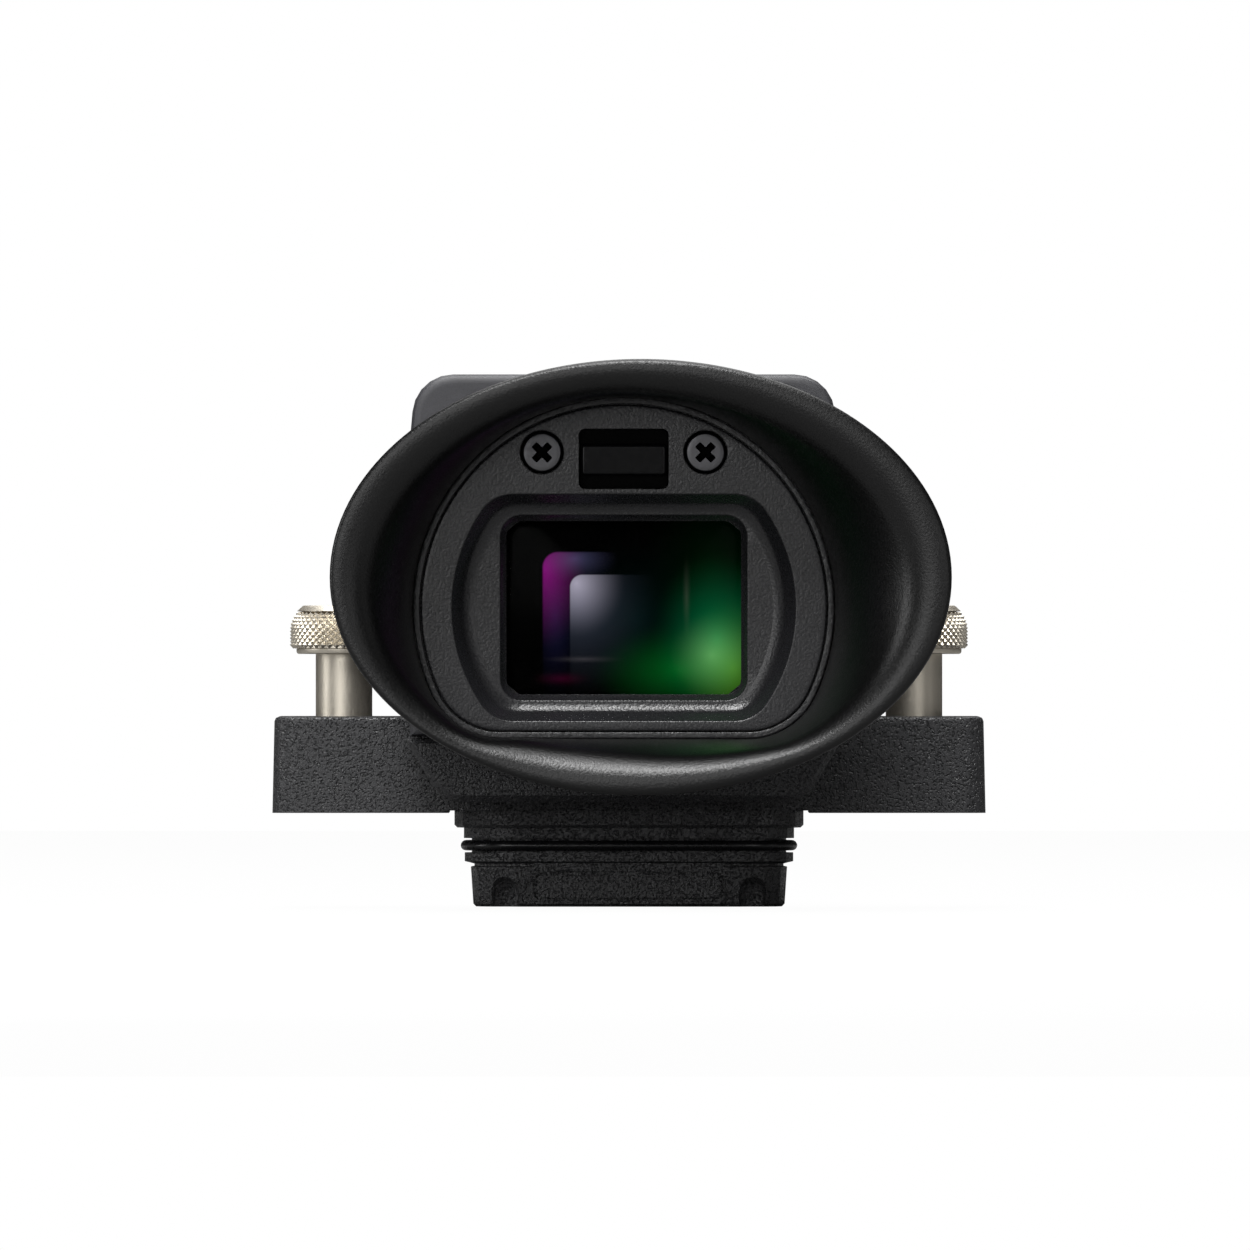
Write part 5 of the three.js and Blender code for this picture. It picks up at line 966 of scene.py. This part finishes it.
# %% Knurling tree
knurl_tree, knurl_in = new_tree("diamond_knurl", {
    "Radius": ("Float", 6.26 * MM), "Low": ("Float", 20.72 * MM), "Height": ("Float", 4.0 * MM),
    "Straight": ("Float", 1.9 * MM), "Crown": ("Float", 0.88 * MM), "Rows": ("Int", 10),
    "Columns": ("Int", 44), "Pitch": ("Float", 0.415 * MM), "Diamond": ("Float", 0.47 * MM),
    "Point": ("Float", 0.05 * MM), "Depth": ("Float", 0.4 * MM), "Finish": ("Material", None)})


def rule(operation, *values):
    """One step of the knurl's arithmetic. A name stands for that input of the tree."""
    return calc(knurl_tree, operation, *[knurl_in[value] if isinstance(value, str) else value
                                         for value in values])


points_all = node(knurl_tree, "GeometryNodePoints", Count=rule("MULTIPLY", "Rows", "Columns"))
number = node(knurl_tree, "GeometryNodeInputIndex").outputs[0]
row = rule("FLOOR", rule("DIVIDE", number, "Columns"))
shift = rule("MULTIPLY", rule("MODULO", row, 2.0), 0.5)
column = rule("ADD", rule("MODULO", number, "Columns"), shift)
angle = rule("MULTIPLY", rule("DIVIDE", column, "Columns"), 2 * math.pi)
above = rule("MULTIPLY", row, "Pitch")
over = rule("MAXIMUM", rule("SUBTRACT", above, "Straight"), 0.0)
share = rule("DIVIDE", over, rule("SUBTRACT", "Height", "Straight"))
drop_in = rule("MULTIPLY", rule("MULTIPLY", share, share), "Crown")
reach = rule("SUBTRACT", "Radius", drop_in)
cosine, sine = rule("COSINE", angle), rule("SINE", angle)
place = node(knurl_tree, "ShaderNodeCombineXYZ", rule("MULTIPLY", reach, cosine),
             rule("MULTIPLY", reach, sine), rule("ADD", above, "Low"))
set_points = node(knurl_tree, "GeometryNodeSetPosition", points_all.outputs[0], Position=place.outputs[0])
facing = node(knurl_tree, "ShaderNodeCombineXYZ", cosine, sine, rule("MULTIPLY", share, 0.9))
facing_out = node(knurl_tree, "FunctionNodeAlignRotationToVector", Vector=facing.outputs[0],
                  settings={"axis": "Z"})
upright_too = node(knurl_tree, "FunctionNodeAlignRotationToVector", Rotation=facing_out.outputs[0],
                   Vector=(0.0, 0.0, 1.0), settings={"axis": "X", "pivot_axis": "Z"})
diamond = node(knurl_tree, "GeometryNodeMeshCone", Vertices=4, Radius_Top=knurl_in["Point"],
               Radius_Bottom=knurl_in["Diamond"], Depth=knurl_in["Depth"])
set_diamonds = node(knurl_tree, "GeometryNodeInstanceOnPoints", set_points.outputs[0],
                    Instance=diamond.outputs["Mesh"], Rotation=upright_too.outputs[0])
with_core = node(knurl_tree, "GeometryNodeJoinGeometry")
knurl_tree.links.new(set_diamonds.outputs[0], with_core.inputs[0])
knurl_tree.links.new(knurl_in["Geometry"], with_core.inputs[0])
end_tree(knurl_tree, with_core.outputs[0], knurl_in["Finish"])
print("knurl tree nodes:", len(knurl_tree.nodes))

# %% [markdown]
# The core lies just under the diamonds' feet, so that the grooves between them are dark, and the knurl
# runs out below a plain bevel and a flat top.

# %% Thumbscrews
WING_X, KNOB_BOTTOM, KNOB_TOP = 35.25, 19.6, 25.6
CORE_LOW, CORE_HEIGHT, CORE_STEPS = 20.35, 4.5, 13
CORE_RADIUS, CORE_SHOULDER, CORE_SPAN, CORE_CROWN = 6.24, 22.6, 2.1, 0.88

# These are (radius, height) of each turned length, from the thread's end to the top of the head.
THREAD = [(TIP, 0.45), (1.7, 0.45), (2.0, 0.75), (2.0, 6.4), (3.4, 6.4), (3.5, 6.5)]
CLIP_GROOVE = [(3.5, 9.77), (2.95, 9.77), (2.95, 10.43), (3.5, 10.43)]
FLANGE = [(3.5, KNOB_BOTTOM), (5.6, KNOB_BOTTOM), (5.8, KNOB_BOTTOM + 0.1), (5.88, KNOB_BOTTOM + 0.3),
          (5.88, 20.24), (5.84, 20.28), (6.1, 20.3)]
TOP = [(5.78, 24.88), (5.78, 24.92), (5.15, 25.5), (5.05, 25.57), (4.9, KNOB_TOP), (3.6, KNOB_TOP),
       (TIP, KNOB_TOP)]


def knurl_core():
    heights = [CORE_LOW + CORE_HEIGHT * step / CORE_STEPS for step in range(CORE_STEPS + 1)]
    overs = [max(0.0, height - CORE_SHOULDER) / CORE_SPAN for height in heights]
    return [(CORE_RADIUS - CORE_CROWN * over ** 2, height) for over, height in zip(overs, heights)]


SCREW_PROFILE = THREAD + CLIP_GROOVE + FLANGE + knurl_core() + TOP
for side, way in SIDES:
    screw = turned(f"{side}_knurled_screw", SCREW_PROFILE, 72)
    smooth(screw, angle=30, weighted=False)
    grow(screw, knurl_tree, Finish=FINISHES["champagne_plate"])
    screw.data.set_sharp_from_angle(angle=math.radians(25))
    for vertex in screw.data.vertices:
        vertex.co.x += way * WING_X * MM
    finished(screw, "champagne_plate", f"{side}_thumbscrew")

# %% [markdown]
# ## Castings and shells
# The base, the plug, the two halves of the barrel and the eye sensor's window have the right form in
# the frame, but their edges are sharp and nothing real is. Each one's mesh is copied, its loose
# triangles are merged into whole faces, and every edge gets a small round that catches a line of light.
# The plug's top is drawn up into the bar's pocket, so that no daylight shows between them, and the
# sensor's window is made a little larger.

# %% Rounded copies
def rounded_copy(node_name, width):
    piece = placed("rounded_" + node_name, nodes[node_name].data.copy())
    shell = bmesh.new()
    shell.from_mesh(piece.data)
    bmesh.ops.remove_doubles(shell, verts=shell.verts, dist=2e-6)
    bmesh.ops.dissolve_limit(shell, angle_limit=math.radians(0.6), verts=shell.verts, edges=shell.edges)
    shell.to_mesh(piece.data)
    shell.free()
    soften(piece, width, angle=28)
    return smooth(piece)


EDGE_ROUNDS = {"mount_base": 0.18, "plug_housing": 0.22, "upper_shell": 0.2, "lower_shell": 0.16,
               "sensor_window": 0.24}
SENSOR_WIDER, SENSOR_TALLER = 1.04, 0.4
# The plug's top rim, and the ends of the low pad on it, between these widths and above this height.
SEAT_GAP, RIM_HEIGHT = 0.28, -0.2
PAD_NEAR, PAD_FAR, PAD_HEIGHT = 14, 20, 0.35

castings = {name: rounded_copy(name, width) for name, width in EDGE_ROUNDS.items()}
for vertex in castings["sensor_window"].data.vertices:
    vertex.co.x = AXIS.x * MM + SENSOR_WIDER * (vertex.co.x - AXIS.x * MM)
    vertex.co.z += SENSOR_TALLER * MM * (vertex.co.z > (AXIS.z + SENSOR_RISE) * MM)
for vertex in castings["plug_housing"].data.vertices:
    if vertex.co.z > RIM_HEIGHT * MM:
        vertex.co.z += SEAT_GAP * MM
        if PAD_NEAR * MM < abs(vertex.co.x) < PAD_FAR * MM and vertex.co.z > PAD_HEIGHT * MM:
            vertex.co.x += math.copysign(SEAT_GAP * MM, vertex.co.x)
for name, casting in castings.items():
    finished(casting, FINISH_OF[name], name)

# %% [markdown]
# ## Springs in the wings
# Under each thumbscrew's washer a coil spring holds the screw up, and pressing the screw down shortens it.
# Each spring's copy here is smoothed and keeps its own mesh, at its length in the frame.

# %% Springs
for side, way in SIDES:
    coil_node = f"{side}_screw_spring"
    coil = outward(placed(f"{side}_coil", nodes[coil_node].data.copy()))
    finished(smooth(coil, angle=60, weighted=False), "steel", coil_node)
    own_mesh(coil)

# %% [markdown]
# ## Sealing ring
# The sealing ring is a round cord closed on itself, which follows the plug's outline. A tree sweeps a
# circle along that outline, so its thickness is one number.

# %% Sealing ring
seal_tree, seal_in = new_tree("cord_on_path", {
    "Thickness": ("Float", 1.25 * MM), "Finish": ("Material", None)})
path = node(seal_tree, "GeometryNodeMeshToCurve", seal_in["Geometry"])
section = node(seal_tree, "GeometryNodeCurvePrimitiveCircle", Resolution=16,
               Radius=calc(seal_tree, "MULTIPLY", seal_in["Thickness"], 0.5))
swept = node(seal_tree, "GeometryNodeCurveToMesh", path.outputs[0], section.outputs["Curve"])
end_tree(seal_tree, swept.outputs[0], seal_in["Finish"])

PLUG_WIDTH, PLUG_DEPTH, PLUG_CORNER = 40.8, 19, 6.5
SEAL_HEIGHT, SEAL_INSET = -4.05, 0.225
seal_outline = round_box(PLUG_WIDTH - 2 * SEAL_INSET, PLUG_DEPTH - 2 * SEAL_INSET,
                         PLUG_CORNER - SEAL_INSET, 12)
count = len(seal_outline)
seal = bare_piece("sealing_ring", [(x, y, SEAL_HEIGHT) for x, y in seal_outline],
                  edges=[(index, (index + 1) % count) for index in range(count)])
grow(seal, seal_tree, Finish=FINISHES["seal_rubber"])
finished(smooth(outward(seal), angle=60, weighted=False), "seal_rubber", "plug_o_ring")

# %% [markdown]
# ## Studio
# A pale floor lies under the plug. Three soft lights hang above, from the front to the back, two weak
# ones stand in front, low, and a strip stands at each side, the left one brighter. The world is white
# where the camera or clear glass looks at it, and nearly dark as a lamp, so that black stays black.

# %% Studio
def world_light():
    world = bpy.data.worlds.new("studio")
    bpy.context.scene.world = world
    world.use_nodes = True
    tree = world.node_tree
    background = tree.nodes["Background"]
    rays = node(tree, "ShaderNodeLightPath")
    direction = node(tree, "ShaderNodeTexCoord").outputs["Generated"]
    parts = node(tree, "ShaderNodeSeparateXYZ", direction)
    soft = between(tree, parts.outputs["Z"], 0.02, 0.08, -0.6, 0.9)
    seen = calc(tree, "MAXIMUM", rays.outputs["Is Camera Ray"], rays.outputs["Is Transmission Ray"])
    strength = node(tree, "ShaderNodeMix", seen, settings={"data_type": "FLOAT"})
    tree.links.new(soft, strength.inputs[NUMBER_A])
    strength.inputs[NUMBER_B].default_value = 1.0
    background.inputs["Color"].default_value = (1, 1, 1, 1)
    tree.links.new(strength.outputs[0], background.inputs["Strength"])


def area_light(name, place, width, height, watts):
    data = bpy.data.lights.new(name, "AREA")
    data.shape = "RECTANGLE"
    data.size, data.size_y = width, height
    data.energy = watts
    light = placed(name, data)
    light.location = place
    light.rotation_euler = (LIT_PLACE - Vector(place)).to_track_quat("-Z", "Y").to_euler()


FLOOR_HALF, FLOOR_HEIGHT = 1500, -11.8


def floor_sheet():
    material, tree, shader = finish("pale_floor", (0.18, 0.18, 0.18), 0.7, specular=0.1)
    rays = node(tree, "ShaderNodeLightPath")
    white = node(tree, "ShaderNodeEmission", Color=(1, 1, 1, 1), Strength=1.06)
    share = calc(tree, "MULTIPLY", rays.outputs["Is Camera Ray"], 0.92)
    mixed = node(tree, "ShaderNodeMixShader", share, shader.outputs[0], white.outputs[0])
    tree.links.new(mixed.outputs[0], tree.nodes["Material Output"].inputs["Surface"])
    corners = [(x * FLOOR_HALF, y * FLOOR_HALF, FLOOR_HEIGHT) for x, y in CORNERS]
    floor = bare_piece("floor", corners, faces=[(0, 1, 2, 3)])
    floor.data.materials.append(material)


# name, place, width, height and watts of each lamp. All look at the barrel.
LIT_PLACE = Vector((0, -0.03, 0.02))
LAMPS = (
    ("key_softbox", (-0.16, -0.62, 0.80), 0.34, 0.42, 11.0),
    ("top_softbox", (0, 0, 0.88), 0.7, 0.75, 6.5),
    ("back_softbox", (0, 0.6, 0.8), 0.8, 0.5, 3.5),
    ("front_key", (-0.34, -1.03, 0.22), 0.6, 0.4, 2.2),
    ("front_fill", (0.42, -1.0, 0.06), 0.5, 0.4, 0.8),
    ("left_strip", (-0.98, -0.2, 0.1), 0.3, 0.8, 3.0),
    ("right_strip", (0.94, -0.35, 0.1), 0.3, 0.8, 0.25),
)
world_light()
floor_sheet()
for lamp in LAMPS:
    area_light(*lamp)
bpy.context.scene.view_settings.view_transform = "Standard"
print("lamps:", len(LAMPS))
